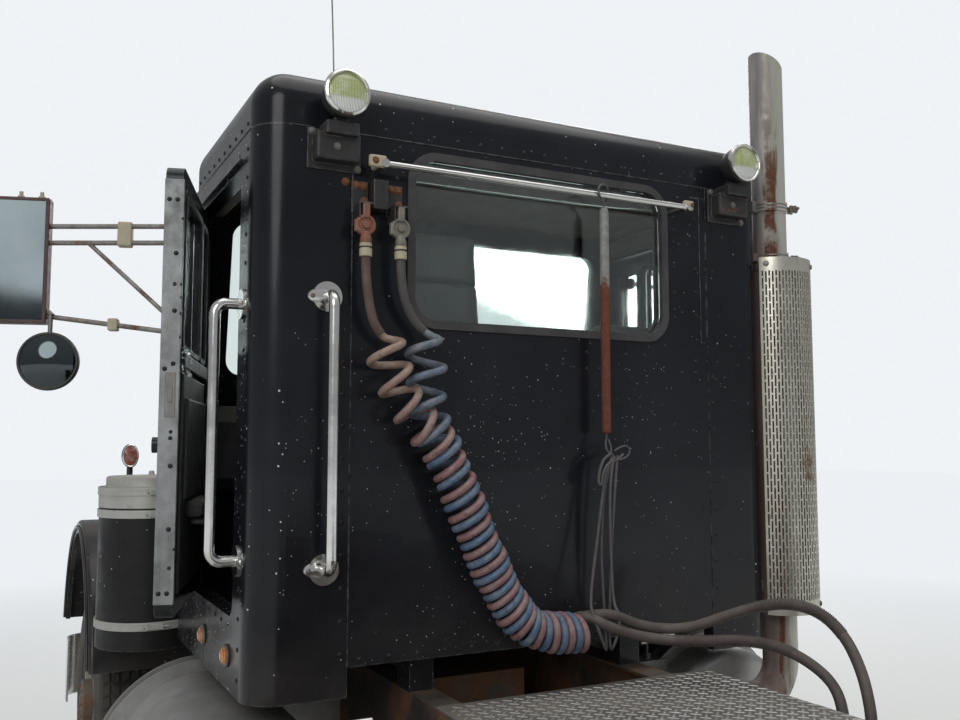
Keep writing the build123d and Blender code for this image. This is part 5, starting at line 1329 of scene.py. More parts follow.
def swing(piece):
    """Turns what is modelled on the shut left door to where that door stands, ajar."""
    angle = -math.radians(LEFT_AJAR)
    hinge = Vector((*HINGE, 0))
    turned_hinge = Vector((hinge.x * math.cos(angle) - hinge.y * math.sin(angle),
        hinge.x * math.sin(angle) + hinge.y * math.cos(angle), 0))
    return placed(piece, hinge - turned_hinge, (0, 0, -LEFT_AJAR))


def hang(pieces, material, name):
    """Joins what is modelled on the shut left door, and hangs it on both doors."""
    shut = join(name, pieces)
    dress(mirrored(shut, name + "_right"), material, "door_right")
    shut.name = name + "_left"
    dress(swing(shut), material, "door_left")


def frame_strip(name, x0, x1, y0, y1, z0, z1, width, round_by=0.03):
    """A flat ring round an opening: outer size y0..y1 by z0..z1, from x0 to x1."""
    ring = plane(name, (1, y1 - y0, z1 - z0), (x0, (y0 + y1) / 2, (z0 + z1) / 2),
        (0, math.pi / 2, 0))
    edit(ring)
    bpy.ops.mesh.bevel(affect="VERTICES", offset=round_by, segments=5)
    select_whole()
    bpy.ops.mesh.inset(thickness=width)
    bpy.ops.mesh.delete(type="FACE")
    select_whole()
    extrude((x1 - x0, 0, 0))
    select_whole()
    bpy.ops.mesh.normals_make_consistent(inside=False)
    leave_edit()
    soften(ring, min(abs(x1 - x0), width) * 0.2, 1, 50)
    return smooth(ring)


class TRACTOR_OT_doors(bpy.types.Operator):
    """Fits the doors' worn edges, seals, trims, latches, handles and screws"""
    bl_idname = "tractor.doors"
    bl_label = "Fit the doors"

    def execute(self, context):
        edge = block("edge", (DOOR_OUT - 0.002, DOOR_BACK - 0.003, 1.268),
            (DOOR_IN + 0.004, DOOR_BACK + 0.0008, 2.502), 0.003)
        lip = block("lip", (DOOR_IN - 0.0005, DOOR_BACK - 0.002, 1.27),
            (DOOR_IN + 0.004, DOOR_BACK + 0.016, 2.5), 0.0015)
        hang([edge, lip], "worn_edge", "door_edge")

        seals = []
        faces = ((DOOR_IN - 0.004, DOOR_IN + 0.005), (DOOR_OUT + 0.004, DOOR_OUT - 0.004))
        for y0, y1 in PANES:
            for x0, x1 in faces:
                seals.append(frame_strip("seal", x0, x1, y0 - 0.01, y1 + 0.01, PANE_LOW - 0.01,
                    PANE_HIGH + 0.01, 0.018, 0.038))
        hang(seals, "rubber", "door_seals")

        panel = block("panel", (DOOR_IN - 0.001, 0.79, 1.29), (DOOR_IN + 0.01, 1.33, 1.93), 0.004)
        pad = block("pad", (DOOR_IN + 0.006, 0.83, 1.56), (DOOR_IN + 0.02, 1.3, 1.86), 0.006)
        rest = block("rest", (DOOR_IN + 0.006, 0.9, 1.5), (DOOR_IN + 0.062, 1.24, 1.55), 0.014)
        sill = block("sill", (DOOR_IN - 0.001, 0.775, 1.945),
            (DOOR_IN + 0.014, 1.42, 1.992), 0.005)
        hang([panel, pad, rest, sill], "vinyl", "door_panel")

        latch = [
            block("striker", (DOOR_IN - 0.036, DOOR_BACK - 0.0045, 1.8),
                (DOOR_IN - 0.006, DOOR_BACK - 0.001, 1.93), 0.002),
            block("tongue", (DOOR_IN - 0.028, DOOR_BACK - 0.0062, 1.842),
                (DOOR_IN - 0.014, DOOR_BACK - 0.001, 1.89), 0.002),
            block("winder", (DOOR_IN + 0.008, 1.05, 1.47), (DOOR_IN + 0.02, 1.2, 1.486), 0.004),
            bar("knob", (DOOR_IN + 0.016, 1.06, 1.478), (DOOR_IN + 0.05, 1.06, 1.478), 0.012, 16,
                0.003),
            bar("boss", (DOOR_IN + 0.004, 1.19, 1.478), (DOOR_IN + 0.028, 1.19, 1.478), 0.018, 20,
                0.003),
            block("pull", (DOOR_OUT - 0.03, 0.815, 1.706),
                (DOOR_OUT - 0.018, 0.925, 1.734), 0.005),
            bar("lock", (DOOR_OUT - 0.001, 0.86, 1.65), (DOOR_OUT - 0.006, 0.86, 1.65), 0.013, 20,
                0.002),
        ]
        hang(latch, "worn_steel", "door_latch")

        screws = [(-0.915, DOOR_BACK - 0.003, z)
            for z in (1.3, 1.48, 1.66, 1.955, 2.11, 2.28, 2.44)]
        screws += [(-0.938, DOOR_BACK - 0.003, z) for z in (1.94, 1.3, 2.44)]
        edge_screws = repeat("screws", rivet(BACK), screws)
        skin = [(DOOR_OUT, 0.775 + 0.093 * n, z) for n in range(8) for z in (1.262, 1.96)]
        skin += [(DOOR_OUT, y, 1.262 + 0.087 * n) for n in range(1, 8) for y in (0.775, 1.426)]
        skin_rivets = repeat("skin_rivets", rivet(LEFT), skin)
        hang([edge_screws, skin_rivets], "cab", "door_rivets")

        film = block("torn_film", (DOOR_IN + 0.004, 0.752, 1.93), (DOOR_IN + 0.01, 0.94, 2.0))
        edit(film)
        bpy.ops.mesh.subdivide(number_cuts=14)
        select_whole()
        bpy.ops.transform.vertex_random(offset=0.006, uniform=0.2, normal=0.8, seed=4)
        leave_edit()
        clear = glass_finish("torn_film", (0.8, 0.83, 0.86, 1), 0.25)
        dress(swing(smooth(film, 20)), clear, "door_left")
        return {"FINISHED"}


class TRACTOR_OT_mirrors(bpy.types.Operator):
    """Fits the mirrors' faces, rims, studs and clamps"""
    bl_idname = "tractor.mirrors"
    bl_label = "Fit the mirrors"

    def execute(self, context):
        hinge_x, hinge_y = HINGE
        centre, back = hinge_x - 0.58, hinge_y - 0.025
        face = block("face", (centre - 0.081, back - 0.004, 2.158),
            (centre + 0.081, back - 0.001, 2.588), 0.001)
        round_head = (hinge_x - 0.47, hinge_y - 0.044, 2.012)
        dome = turned("dome", round_head, BACK, ((0, 0.022), (0.03, 0.02), (0.06, 0.0135),
            (0.085, 0.005), (0.094, 0.001)), 48)
        hang([face, dome], "mirror", "mirror_faces")
        rim = turned("rim", round_head, BACK, ((0.092, 0.001), (0.095, 0.004), (0.1, 0.004),
            (0.103, 0.0), (0.104, -0.01), (0.098, -0.024), (0.08, -0.034)), 48)
        hang([rim], "plastic", "round_mirror_rim")
        strips = []
        for left, right, low, high in ((-0.094, -0.08, 2.15, 2.596), (0.08, 0.094, 2.15, 2.596),
                                       (-0.092, 0.092, 2.146, 2.16), (-0.092, 0.092, 2.586, 2.6)):
            strips.append(block("strip", (centre + left, back - 0.006, low),
                (centre + right, back + 0.046, high), 0.004))
        hang(strips, "mirror_frame", "mirror_surround")
        clamps = [
            block("clamp", (hinge_x - 0.246, hinge_y - 0.075, 2.425),
                (hinge_x - 0.196, hinge_y - 0.035, 2.515), 0.006),
            block("clamp", (hinge_x - 0.27, hinge_y - 0.072, 2.122),
                (hinge_x - 0.235, hinge_y - 0.032, 2.166), 0.005),
        ]
        for x in (centre + 0.06, centre - 0.01):
            clamps.append(turned("stud", (x, back + 0.02, 2.598), UP, ((0.006, 0), (0.012, 0.002),
                (0.012, 0.01), (0.007, 0.012), (0.007, 0.026), (0, 0.028)), 12))
        for z in (2.5, 2.44, 2.11):
            clamps.append(turned("foot", (DOOR_OUT, hinge_y - 0.098, z), LEFT, ((0, 0.014),
                (0.012, 0.013), (0.024, 0.007), (0.027, 0.003), (0.027, 0)), 24))
        hang(clamps, "cream", "mirror_clamps")
        return {"FINISHED"}


# The cab's inside


def cushion(name, low, high, taper=0.0, channels=(), axis=2, swell=0.018):
    """A padded form that fills a box: its sides pull in, its face is crowned and channelled."""
    low, high = Vector(low), Vector(high)
    size = high - low
    piece = block(name, low, high)
    edit(piece)
    bpy.ops.mesh.subdivide(number_cuts=3)
    leave_edit()
    soften(piece, 0.03, 3, 60)
    if taper:
        middle = (low.x + high.x) / 2
        for vertex in piece.data.vertices:
            rise = (vertex.co.z - low.z) / size.z
            vertex.co.x = middle + (vertex.co.x - middle) * (1 - taper * rise * rise)
    piece = inflate(piece, swell)
    apply_modifier(piece, "SUBSURF", levels=1, render_levels=1)
    thin = min(range(3), key=lambda k: size[k])
    half_width, depth = 0.014, 0.026
    for where in channels:
        for vertex in piece.data.vertices:
            near = abs(vertex.co[axis] - where) / half_width
            if near < 1:
                offset = vertex.co[thin] - (low[thin] + high[thin]) / 2
                vertex.co[thin] -= offset / size[thin] * depth * (1 - near) ** 2
    return smooth(piece, 60)


def inflate(piece, swell):
    """Cloth under light pressure for a few frames, its swelling capped."""
    scene = bpy.context.scene
    apply_modifier(piece, "REMESH", mode="VOXEL", voxel_size=0.014)
    start = [vertex.co.copy() for vertex in piece.data.vertices]
    cloth = piece.modifiers.new("Cloth", "CLOTH")
    cloth.settings.use_pressure = True
    cloth.settings.uniform_pressure_force = 4.0
    cloth.settings.effector_weights.gravity = 0
    cloth.settings.quality = 4
    cloth.settings.tension_stiffness = 12
    last_frame = 14
    cloth.point_cache.frame_start = 1
    cloth.point_cache.frame_end = last_frame
    for frame_number in range(1, last_frame + 1):
        scene.frame_set(frame_number)
    pick(piece)
    bpy.ops.object.modifier_apply(modifier="Cloth")
    scene.frame_set(1)
    for vertex, before in zip(piece.data.vertices, start):
        moved = vertex.co - before
        if moved.length > swell:
            vertex.co = before + moved.normalized() * swell
    return piece


class TRACTOR_OT_seats(bpy.types.Operator):
    """Makes the two seats: padded cushions and backs on their pedestals"""
    bl_idname = "tractor.seats"
    bl_label = "Make the seats"

    def execute(self, context):
        pedestals = []
        # the backs lean from this height up, after a shift forward
        lean, lean_height, forward = math.radians(4.5), 1.57, 0.022
        seats = (
            # name, middle x, half width, top of the back
            ("driver", -0.405, 0.285, 2.42),
            ("passenger", 0.47, 0.205, 2.165),
        )
        for name, x, half, top in seats:
            base = cushion(name + "_cushion", (x - half, 0.72, 1.445), (x + half, 1.1, 1.54), 0,
                (x - half * 0.45, x + half * 0.45), 0)
            dress(base, "vinyl", replaces=["seats"])
            back = cushion(name + "_back", (x - half, 0.69, 1.575), (x + half, 0.79, top), 0.24,
                (1.8, 2.03, 2.24), 2)
            for vertex in back.data.vertices:
                vertex.co.y -= (vertex.co.z - lean_height) * math.tan(lean) * 0.9 - forward
            dress(back, "vinyl")
            pedestals += [
                block("base", (x - 0.16, 0.75, 1.1325), (x + 0.16, 1.03, 1.165), 0.008),
                block("bellows", (x - 0.125, 0.79, 1.16), (x + 0.125, 0.99, 1.4), 0.02),
                block("pan", (x - half + 0.02, 0.73, 1.4), (x + half - 0.02, 1.09, 1.432), 0.01),
                bar("lever", (x - half + 0.03, 1.0, 1.38), (x - half + 0.03, 1.115, 1.372), 0.008,
                    12, 0.002),
            ]
            for n in range(5):
                z = 1.18 + 0.045 * n
                pedestals.append(block("fold", (x - 0.138, 0.778, z),
                    (x + 0.138, 1.002, z + 0.022), 0.009))
        fit("seat_pedestals", pedestals, "plastic")
        return {"FINISHED"}


class TRACTOR_OT_cabin(bpy.types.Operator):
    """Fits the headliner, the trims, the gauges, the pedals and the gear lever"""
    bl_idname = "tractor.cabin"
    bl_label = "Fit out the cabin"

    def execute(self, context):
        trims = [
            block("headliner", (-0.845, 0.64, 2.632), (0.845, 1.4, 2.642), 0.004),
            block("back_pad", (-0.6, 0.581, 1.34), (0.6, 0.592, 2.05), 0.005),
        ]
        for side in SIDES:
            trims.append(block("post_pad", (side * 0.842, 0.59, 1.24), (side * 0.899, 0.716, 2.56),
                0.008))
            trims.append(block("rail_pad", (side * 0.85, 0.72, 2.562), (side * 0.899, 1.44, 2.63),
                0.01))
        fit("cab_trim", trims, "trim")
        for side in SIDES:
            spots = [(side * 0.842, y, z)
                for y in (0.62, 0.69) for z in (1.35, 1.62, 1.89, 2.16, 2.43)]
            scatter("trim_studs", rivet((-side, 0, 0)), spots, "worn_steel")
        seals = [frame_strip("opening_seal", side * 0.893, side * 0.901, 0.716, 1.474, 1.206, 2.564,
            0.013, 0.05) for side in SIDES]
        fit("opening_seals", seals, "rubber")
        dials, rings = [], []
        dash_y, dash_z, dash_lean = 1.3665, 1.8, 0.125
        gauges = (
            # middle x and z, radius
            (-0.5, 1.79, 0.052), (-0.36, 1.79, 0.052), (-0.61, 1.8, 0.026), (-0.25, 1.8, 0.026),
            (-0.18, 1.8, 0.026), (-0.61, 1.73, 0.026), (-0.25, 1.73, 0.026), (-0.18, 1.73, 0.026),
        )
        for x, z, r in gauges:
            y = dash_y - (dash_z - z) * dash_lean
            rings.append(turned("ring", (x, y, z), (0, -1, 0.12), ((r * 0.92, 0.004), (r, 0.009),
                (r * 1.1, 0.006), (r * 1.14, -0.004)), 28))
            dials.append(turned("dial", (x, y, z), (0, -1, 0.12), ((0, 0.0045), (r * 0.6, 0.0045),
                (r * 0.95, 0.004)), 24))
        rings.append(bar("stalk", (-0.46, 1.255, 1.735), (-0.33, 1.225, 1.79), 0.006, 10, 0.002))
        fit("gauge_rings", rings, "bright")
        fit("gauge_dials", dials, "dial")
        fittings = [
            block("visor", (-0.7, 1.37, 2.505), (-0.1, 1.392, 2.625), 0.008),
            block("glovebox", (0.3, 1.35, 1.62), (0.78, 1.362, 1.77), 0.006),
            block("vent", (-0.05, 1.345, 1.7), (0.14, 1.364, 1.78), 0.004),
            tube("gear_lever", ((0.02, 1.25, 1.133), (0.02, 1.23, 1.35), (-0.02, 1.16, 1.6),
                (-0.05, 1.06, 1.78)), 0.01),
            turned("gear_knob", (-0.05, 1.06, 1.775), (0, -0.35, 1), ((0.009, 0), (0.018, 0.008),
                (0.027, 0.026), (0.026, 0.044), (0.014, 0.056), (0, 0.058)), 20),
            turned("gear_boot", (0.02, 1.25, 1.1325), UP, ((0.085, 0), (0.08, 0.012), (0.06, 0.03),
                (0.052, 0.045), (0.036, 0.07), (0.032, 0.085), (0.014, 0.11)), 24),
        ]
        for x, y in ((-0.56, 1.42), (-0.43, 1.44), (-0.31, 1.43)):
            fittings.append(block("pedal", (x - 0.035, y - 0.06, 1.23),
                (x + 0.035, y - 0.045, 1.33), 0.006))
            fittings.append(bar("pedal_arm", (x, y - 0.048, 1.28), (x, y + 0.03, 1.4), 0.008, 10,
                0.002))
        fit("cabin_fittings", fittings, "plastic")
        return {"FINISHED"}


# The nose, the wheels and the chassis


class TRACTOR_OT_hood_fittings(bpy.types.Operator):
    """Fits the hood's seams and latches, the grille's mesh and the head lamps' glass"""
    bl_idname = "tractor.hood_fittings"
    bl_label = "Fit the hood"

    def execute(self, context):
        strips = [block("crease", (-0.014, 1.73, 1.9215), (0.014, 1.74, 1.9235), 0.0008, 1)]
        latches = []
        for side in SIDES:
            bead = [(side * (0.601 - 0.0463 * t), 1.72 + 1.6 * t, 1.56 - 0.05 * t)
                for t in (0, 0.5, 1)]
            strips.append(tube("bead", bead, 0.0045))
            x = side * 0.596
            for n in range(9):
                z = 1.27 + 0.03 * n
                strips.append(block("louvre", (x - 0.004, 2.0, z), (x + 0.004, 2.3, z + 0.01),
                    0.003, 1))
            latches += [
                block("latch", (side * 0.597 - 0.008, 1.76, 1.24),
                    (side * 0.597 + 0.01, 1.8, 1.36), 0.006),
                block("catch", (side * 0.59 - 0.01, 1.77, 1.36),
                    (side * 0.59 + 0.016, 1.79, 1.385), 0.005),
            ]
        fit("hood_seams", strips, "hood", "hood")
        fit("hood_latches", latches, "rubber", "hood")

        meshes, mesh_step, wire = [], 0.013, 0.0022
        for half, low, high in ((0.468, 0.834, 1.688), (0.318, 1.688, 1.764)):
            upright = block("wire", (-half, 3.35, low), (-half + wire, 3.3545, high))
            meshes.append(array(upright, int(2 * half / mesh_step), (mesh_step, 0, 0)))
            level = block("wire", (-half, 3.35, low), (half, 3.3525, low + wire))
            meshes.append(array(level, int((high - low) / mesh_step), (0, 0, mesh_step)))
        fit("grille_mesh", meshes, "chassis", "hood")

        glass, rims, stalks = [], [], []
        for side in SIDES:
            at = (side * 0.86, 3.462, 1.01)
            glass.append(turned("glass", at, AHEAD, ((0, 0.02), (0.03, 0.0185), (0.06, 0.0125),
                (0.078, 0.004)), 48))
            rims.append(turned("rim", at, AHEAD, ((0.076, 0.004), (0.082, 0.009), (0.09, 0.007),
                (0.094, -0.002), (0.0935, -0.02)), 48))
            for y, out in ((2.704, -1), (2.756, 1)):
                oval = [
                    turned("rim", ORIGIN, (0, out, 0), ((0.03, 0.002), (0.033, 0.005),
                        (0.0365, 0.001), (0.0368, -0.012)), 32),
                    turned("lens", ORIGIN, (0, out, 0), ((0, 0.009), (0.016, 0.008),
                        (0.0305, 0.002)), 28),
                ]
                for piece, kept in zip(oval, (rims, stalks)):
                    piece.scale.z = 1.55
                    kept.append(placed(piece, (side * 1.0, y, 1.662)))
        fit("head_lamp_rims", rims, "bright", "hood")
        fit("head_lamp_glass", glass, lens_finish("head_lens", (0.62, 0.66, 0.62, 1),
            (0.8, 0.82, 0.8, 1), 260, 1.0), "hood")
        fit("stalk_lenses", stalks, lens_finish("stalk_lens", (0.36, 0.05, 0.03, 1),
            (0.42, 0.09, 0.04, 1), 320, 1.65), "hood")
        edges, arch = [], 0.69
        for side in SIDES:
            arc = [(side * 1.214, 2.78 + arch * math.cos(a), 0.64 + arch * math.sin(a))
                for a in (math.radians(d) for d in range(14, 167, 8))]
            edges.append(tube("fender_bead", arc, 0.008, sides=2))
        fit("fender_beads", edges, "hood", "hood")
        return {"FINISHED"}


class TRACTOR_OT_canisters(bpy.types.Operator):
    """Finishes the air cleaners: pale lids, bands, buckles and wing nuts"""
    bl_idname = "tractor.canisters"
    bl_label = "Finish the air cleaners"

    def execute(self, context):
        lids = []
        for side in SIDES:
            x, y, foot = at = (side * 1.02, 1.88, 0.95)
            lids.append(turned("lid", at, UP, ((0.1905, 0.527), (0.1928, 0.529), (0.193, 0.594),
                (0.1905, 0.603), (0.17, 0.607), (0.1672, 0.612), (0.167, 0.64), (0.16, 0.645),
                (0.05, 0.647), (0.044, 0.643), (0, 0.643)), 64))
            for z in (0.09, 0.506, 0.59):
                lids.append(turned("band", at, UP, ((0.19, z - 0.0152), (0.1955, z - 0.0152),
                    (0.1968, z - 0.01), (0.1955, z - 0.004), (0.1955, z + 0.004),
                    (0.1968, z + 0.01), (0.1955, z + 0.0152), (0.19, z + 0.0152)), 64))
                lids.append(block("buckle", (x - 0.032, y - 0.206, foot + z - 0.011),
                    (x + 0.032, y - 0.19, foot + z + 0.011), 0.003))
                lids.append(bar("bolt", (x - 0.045, y - 0.2, foot + z),
                    (x + 0.05, y - 0.2, foot + z), 0.004, 10))
            lids.append(turned("nut", (x, y, 1.592), UP, ((0, 0.024), (0.01, 0.022),
                (0.012, 0.006), (0.024, 0.004), (0.024, 0)), 6))
        fit("air_cleaner_lids", lids, "lid")
        return {"FINISHED"}


def tyre_shape(name):
    """A worn road tyre about the X axis at the origin: its casing with six rows of blocks."""
    outline = (
        # outward from the middle, radius
        (0.1, 0.2866), (0.1035, 0.29), (0.1037, 0.3065), (0.112, 0.3085), (0.115, 0.322),
        (0.1185, 0.345), (0.127, 0.352), (0.128, 0.357), (0.133, 0.38), (0.1375, 0.405),
        (0.1375, 0.425), (0.133, 0.455), (0.129, 0.462), (0.129, 0.468), (0.124, 0.495),
        (0.116, 0.508), (0.106, 0.5125), (0.07, 0.5135), (0.035, 0.514), (0.0, 0.5142),
    )
    profile = [(r, x) for x, r in outline] + [(r, -x) for x, r in outline[-2::-1]]
    casing = turned(name, ORIGIN, RIGHT, profile, 72)
    rows = (
        # inner and outer edge from the middle, half length round the tyre, lean, height
        (0.004, 0.036, 0.0175, 0.01, 0.524),
        (0.045, 0.076, 0.0175, -0.008, 0.5235),
        (0.084, 0.112, 0.02, 0.004, 0.5215),
    )
    lugs, shoulder, drop = [], 0.08, 0.004
    for inner, outer, half, lean, height in rows:
        for side in SIDES:
            x0, x1 = sorted((side * inner, side * outer))
            lug = block("lug", (x0, -half, 0.5), (x1, half, height))
            for vertex in lug.data.vertices:
                vertex.co.y += lean * (1 if abs(vertex.co.x) > (inner + outer) / 2 else -1) * side
                # the shoulder's blocks fall away outward
                if inner > shoulder and abs(vertex.co.x) > 0.1 and vertex.co.z > 0.51:
                    vertex.co.z -= drop
            lugs.append(ringed(lug, 64, RIGHT))
    return join(name, [casing] + lugs)


WHEELS = (
    # name, axle's y, side, middles of its tyres
    ("front_left", FRONT_AXLE, -1, (1.02,)),
    ("front_right", FRONT_AXLE, 1, (1.02,)),
    ("drive_1_left", DRIVE_AXLES[0], -1, (0.75, 1.08)),
    ("drive_1_right", DRIVE_AXLES[0], 1, (0.75, 1.08)),
    ("drive_2_left", DRIVE_AXLES[1], -1, (0.75, 1.08)),
    ("drive_2_right", DRIVE_AXLES[1], 1, (0.75, 1.08)),
)


class TRACTOR_OT_wheels(bpy.types.Operator):
    """Fits tyres with tread, wheel nuts, hub caps and valves"""
    bl_idname = "tractor.wheels"
    bl_label = "Fit the wheels"

    def execute(self, context):
        model = tyre_shape("tyre_model")
        nut = turned("nut", ORIGIN, RIGHT, ((0, 0.026), (0.008, 0.026), (0.01, 0.022),
            (0.0165, 0.02), (0.0165, 0.004), (0.021, 0.003), (0.021, 0)), 6)
        nuts = ringed(placed(smooth(nut, 20), (0, 0, 0.118)), 10, RIGHT)
        cap = turned("cap", ORIGIN, RIGHT, ((0.0925, -0.04), (0.0945, -0.038), (0.0945, 0.0),
            (0.09, 0.003), (0.064, 0.004), (0.06, 0.0), (0.056, 0.004), (0.03, 0.007),
            (0.02, 0.01), (0, 0.01)), 40)
        stud = turned("stud", (0, 0, 0.077), RIGHT, ((0, 0.014), (0.006, 0.013), (0.008, 0.01),
            (0.008, 0.0)), 6)
        cap = join("cap", [cap, ringed(stud, 8, RIGHT)])
        valve = bar("valve", (0.0, 0.0, 0.205), (0.028, 0.0, 0.235), 0.0045, 10, 0.001)
        # how far out the wheel nuts stand, by the number of tyres, and the hub caps
        nut_face, cap_face = {1: 1.102, 2: 0.927}, 1.17
        for name, y, side, middles in WHEELS:
            tyres = [settle(duplicate(model, (side * x, y, AXLE_HEIGHT))) for x in middles]
            body = "wheel_" + name
            fit("road_tyre_" + name, tyres, "tyre", body, replaces=["tyre_" + name])
            face = nut_face[len(middles)]
            parts = []
            for piece, x in ((nuts, face), (valve, face), (cap, cap_face)):
                made = mirrored(piece, piece.name) if side < 0 else duplicate(piece)
                parts.append(placed(made, (side * x, y, AXLE_HEIGHT)))
            fit("wheel_nuts_" + name, parts, "hub", body)
        for piece in (model, nuts, cap, valve):
            bpy.data.objects.remove(piece)
        return {"FINISHED"}


def tread_lugs(name, first, counts, z):
    """The crossed raised bars of a tread plate, each a low block with sloping sides."""
    sets, pitch = [], 0.04
    for turn, shift in ((45, 0.0), (-45, pitch / 2)):
        start_fresh()
        bpy.ops.mesh.primitive_cone_add(vertices=4, radius1=0.0226, radius2=0.0185, depth=0.002,
            location=ORIGIN, rotation=(0, 0, math.radians(45)))
        lug = new_piece(name)
        lug.scale = (1, 0.22, 1)
        settle(lug)
        placed(lug, (first[0] + shift, first[1] + shift, z), (0, 0, turn))
        for count, step in zip(counts, ((pitch, 0, 0), (0, pitch, 0))):
            array(lug, count, step)
        sets.append(lug)
    return join(name, sets)


class TRACTOR_OT_chassis(bpy.types.Operator):
    """Fits the frame's bolts, tank fittings, tail lamps, flap wear strips and the deck's tread"""
    bl_idname = "tractor.chassis"
    bl_label = "Fit out the chassis"

    def execute(self, context):
        for side in SIDES:
            spots = [(side * RAIL_OUTER, y + dy, z) for y in (-3.27, -2.15, -0.9, 0.2, 3.26)
                for dy in (-0.035, 0.035) for z in (0.76, 0.835, 0.91)]
            spots += [(side * RAIL_OUTER, -1.9 + dy, z)
                for dy in (-0.15, -0.05, 0.05, 0.15) for z in (0.915, 0.945)]
            bolts = hex_bolt("bolt", (side, 0, 0), 0.0125, 0.016)
            scatter("frame_bolts_" + ("left" if side < 0 else "right"), bolts, spots, "cast")
        bolts = [(side * x, 3.55, z) for side in SIDES for x in (0.36, 0.46) for z in (0.47, 0.61)]
        button = turned("bolt", ORIGIN, AHEAD, ((0, 0.0055), (0.008, 0.005), (0.014, 0.0025),
            (0.0155, 0)), 20)
        scatter("bumper_bolts", button, bolts, "worn_steel")
        dress(block("tread", (-0.426, -0.476, 0.9755), (0.552, 0.436, 0.9762)), "tread_plate")
        dress(tread_lugs("tread_lugs", (-0.4, -0.455), (24, 22), 0.9772), "aluminium")
        lenses = []
        for side in SIDES:
            for inner in (0.2, 0.33):
                x0, x1 = sorted((side * inner, side * (inner + 0.11)))
                lenses.append(block("lens", (x0 + 0.006, -3.554, 0.886),
                    (x1 - 0.006, -3.549, 0.944), 0.002))
        fit("tail_lenses", lenses, lens_finish("tail_lens", (0.42, 0.022, 0.015, 1),
            (0.5, 0.035, 0.02, 1), 300, 0.915))
        flaps = []
        for side in SIDES:
            x0, x1 = sorted((side * 0.62, side * 1.2))
            flap = block("flap", (x0 - 0.001, -3.479, 0.28), (x1 + 0.001, -3.461, 0.899), 0.002, 1)
            for n in range(9):
                z = 0.32 + 0.065 * n
                flaps.append(block("rib", (x0 + 0.03, -3.482, z), (x1 - 0.03, -3.478, z + 0.012),
                    0.001, 1))
            flaps.append(flap)
            flaps.append(block("strip", (x0, -3.484, 0.856), (x1, -3.478, 0.898), 0.002))
        fit("mud_flap_ribs", flaps, "rubber")

        fittings = []
        for side, straps, cap_y in ((-1, (0.43, 1.32), 0.58), (1, (0.9, 1.32), 1.05)):
            x = side * 0.66
            for y in straps:
                fittings += [
                    bar("bolt", (x, y, 0.9), (x, y, 0.968), 0.008, 12),
                    bar("cross", (x - 0.032, y, 0.968), (x + 0.032, y, 0.968), 0.009, 12, 0.003),
                    turned("nut", (x, y, 0.91), UP, ((0.008, 0.016), (0.015, 0.015), (0.015, 0.0)),
                        6),
                ]
            fittings.append(turned("cap", (side * 1.14, cap_y, 0.925), (side, 0, 1),
                ((0.0485, -0.03), (0.053, -0.027), (0.053, 0.02), (0.047, 0.03), (0.022, 0.032),
                (0.018, 0.026), (0, 0.026)), 36))
            fittings.append(turned("neck", (side * 1.105, cap_y, 0.89), (side, 0, 1),
                ((0.07, -0.02), (0.066, 0.004), (0.052, 0.01), (0.0485, 0.012)), 36))
        fit("tank_fittings", fittings, "bright")
        return {"FINISHED"}


NODE_FINISH = {
    "cab": ("cab_back", "cab_sides", "cab_front", "cab_roof", "door_left", "door_right"),
    "hood": ("hood", "fenders"),
    "chassis": ("frame_rails", "radiator", "tail_bar"),
    "cast": ("engine_block", "front_axle", "drive_axles", "drive_shafts", "fifth_wheel_base",
        "knuckle_left", "knuckle_right", "tie_rod"),
    "grease": ("fifth_wheel",),
    "aluminium": ("fuel_tanks", "deck_plate", "gladhands"),
    "bright": ("front_bumper", "cab_bars", "grille"),
    "canister": ("air_cleaners",),
    "worn_steel": ("mirror_left", "mirror_right"),
    "stack": ("exhaust_stack",),
    "guard": ("exhaust_guard",),
    "gasket": ("window_gasket",),
    "plastic": ("dashboard", "steering_wheel", "cab_lamps", "head_lamps"),
    "rusty": ("air_outlets", "hose_tender"),
    "wheel": ["rim_" + name for name, *_ in WHEELS],
}


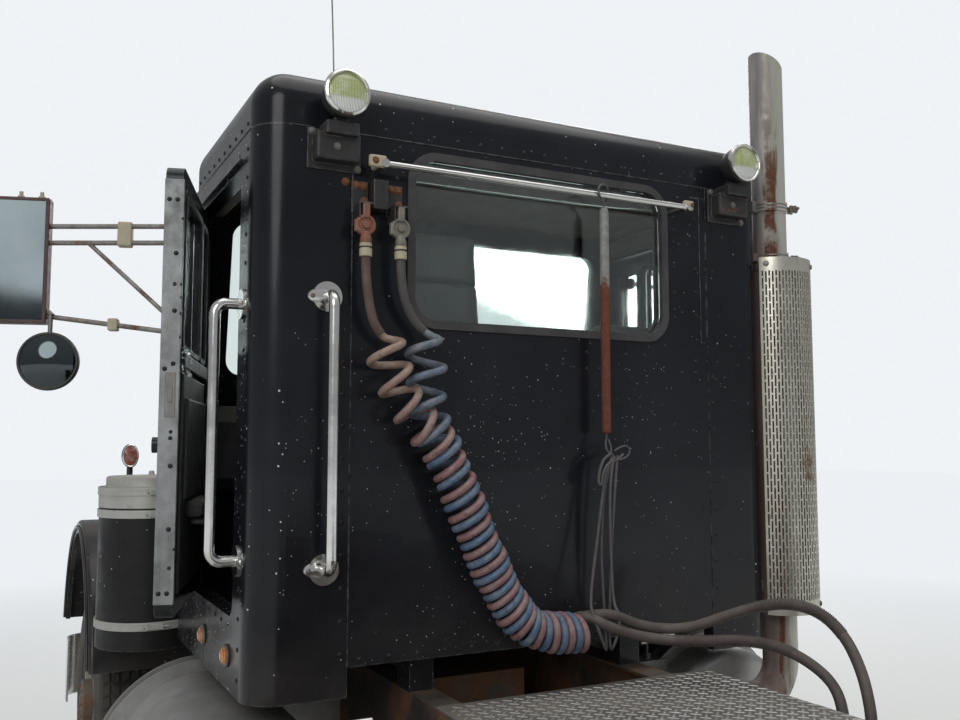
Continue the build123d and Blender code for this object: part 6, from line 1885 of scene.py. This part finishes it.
class TRACTOR_OT_finishes(bpy.types.Operator):
    """Gives every CAD part its weathered finish"""
    bl_idname = "tractor.finishes"
    bl_label = "Finish the CAD parts"

    def execute(self, context):
        for finish_name, nodes in NODE_FINISH.items():
            for node in nodes:
                dress_node(node, FINISHES[finish_name])
        glass = glass_finish("cab_glass", (0.82, 0.9, 0.87, 1))
        for node in ("cab_glass", "door_left_glass", "door_right_glass"):
            dress_node(node, glass)
        return {"FINISHED"}


class TRACTOR_PT_panel(bpy.types.Panel):
    """Lists the steps that dress the tractor unit"""
    bl_label = "Tractor unit"
    bl_idname = "TRACTOR_PT_panel"
    bl_space_type = "VIEW_3D"
    bl_region_type = "UI"
    bl_category = "Tractor"

    def draw(self, context):
        layout = self.layout
        for settings in (context.scene.tractor_hoses, context.scene.tractor_paint,
                         context.scene.tractor_stage):
            box = layout.box()
            for key in settings.__annotations__:
                box.prop(settings, key)
        for step in STEPS:
            layout.operator(step.bl_idname)


SETTINGS = (
    ("tractor_hoses", TractorHoseSettings),
    ("tractor_paint", TractorPaintSettings),
    ("tractor_stage", TractorStageSettings),
)
STEPS = (
    TRACTOR_OT_stage,
    TRACTOR_OT_hoses,
    TRACTOR_OT_finishes,
    TRACTOR_OT_outlets,
    TRACTOR_OT_tender,
    TRACTOR_OT_rivets,
    TRACTOR_OT_back_fittings,
    TRACTOR_OT_lamps,
    TRACTOR_OT_exhaust,
    TRACTOR_OT_doors,
    TRACTOR_OT_mirrors,
    TRACTOR_OT_seats,
    TRACTOR_OT_cabin,
    TRACTOR_OT_hood_fittings,
    TRACTOR_OT_canisters,
    TRACTOR_OT_wheels,
    TRACTOR_OT_chassis,
)


def register():
    for name, settings in SETTINGS:
        bpy.utils.register_class(settings)
        setattr(bpy.types.Scene, name, bpy.props.PointerProperty(type=settings))
    for step in (*STEPS, TRACTOR_PT_panel):
        bpy.utils.register_class(step)


def unregister():
    for step in (TRACTOR_PT_panel, *reversed(STEPS)):
        bpy.utils.unregister_class(step)
    for name, settings in reversed(SETTINGS):
        delattr(bpy.types.Scene, name)
        bpy.utils.unregister_class(settings)


def main():
    register()
    make_effects()
    make_finishes()
    for step in STEPS:
        space, action = step.bl_idname.split(".")
        getattr(getattr(bpy.ops, space), action)()


if __name__ == "__main__":
    main()
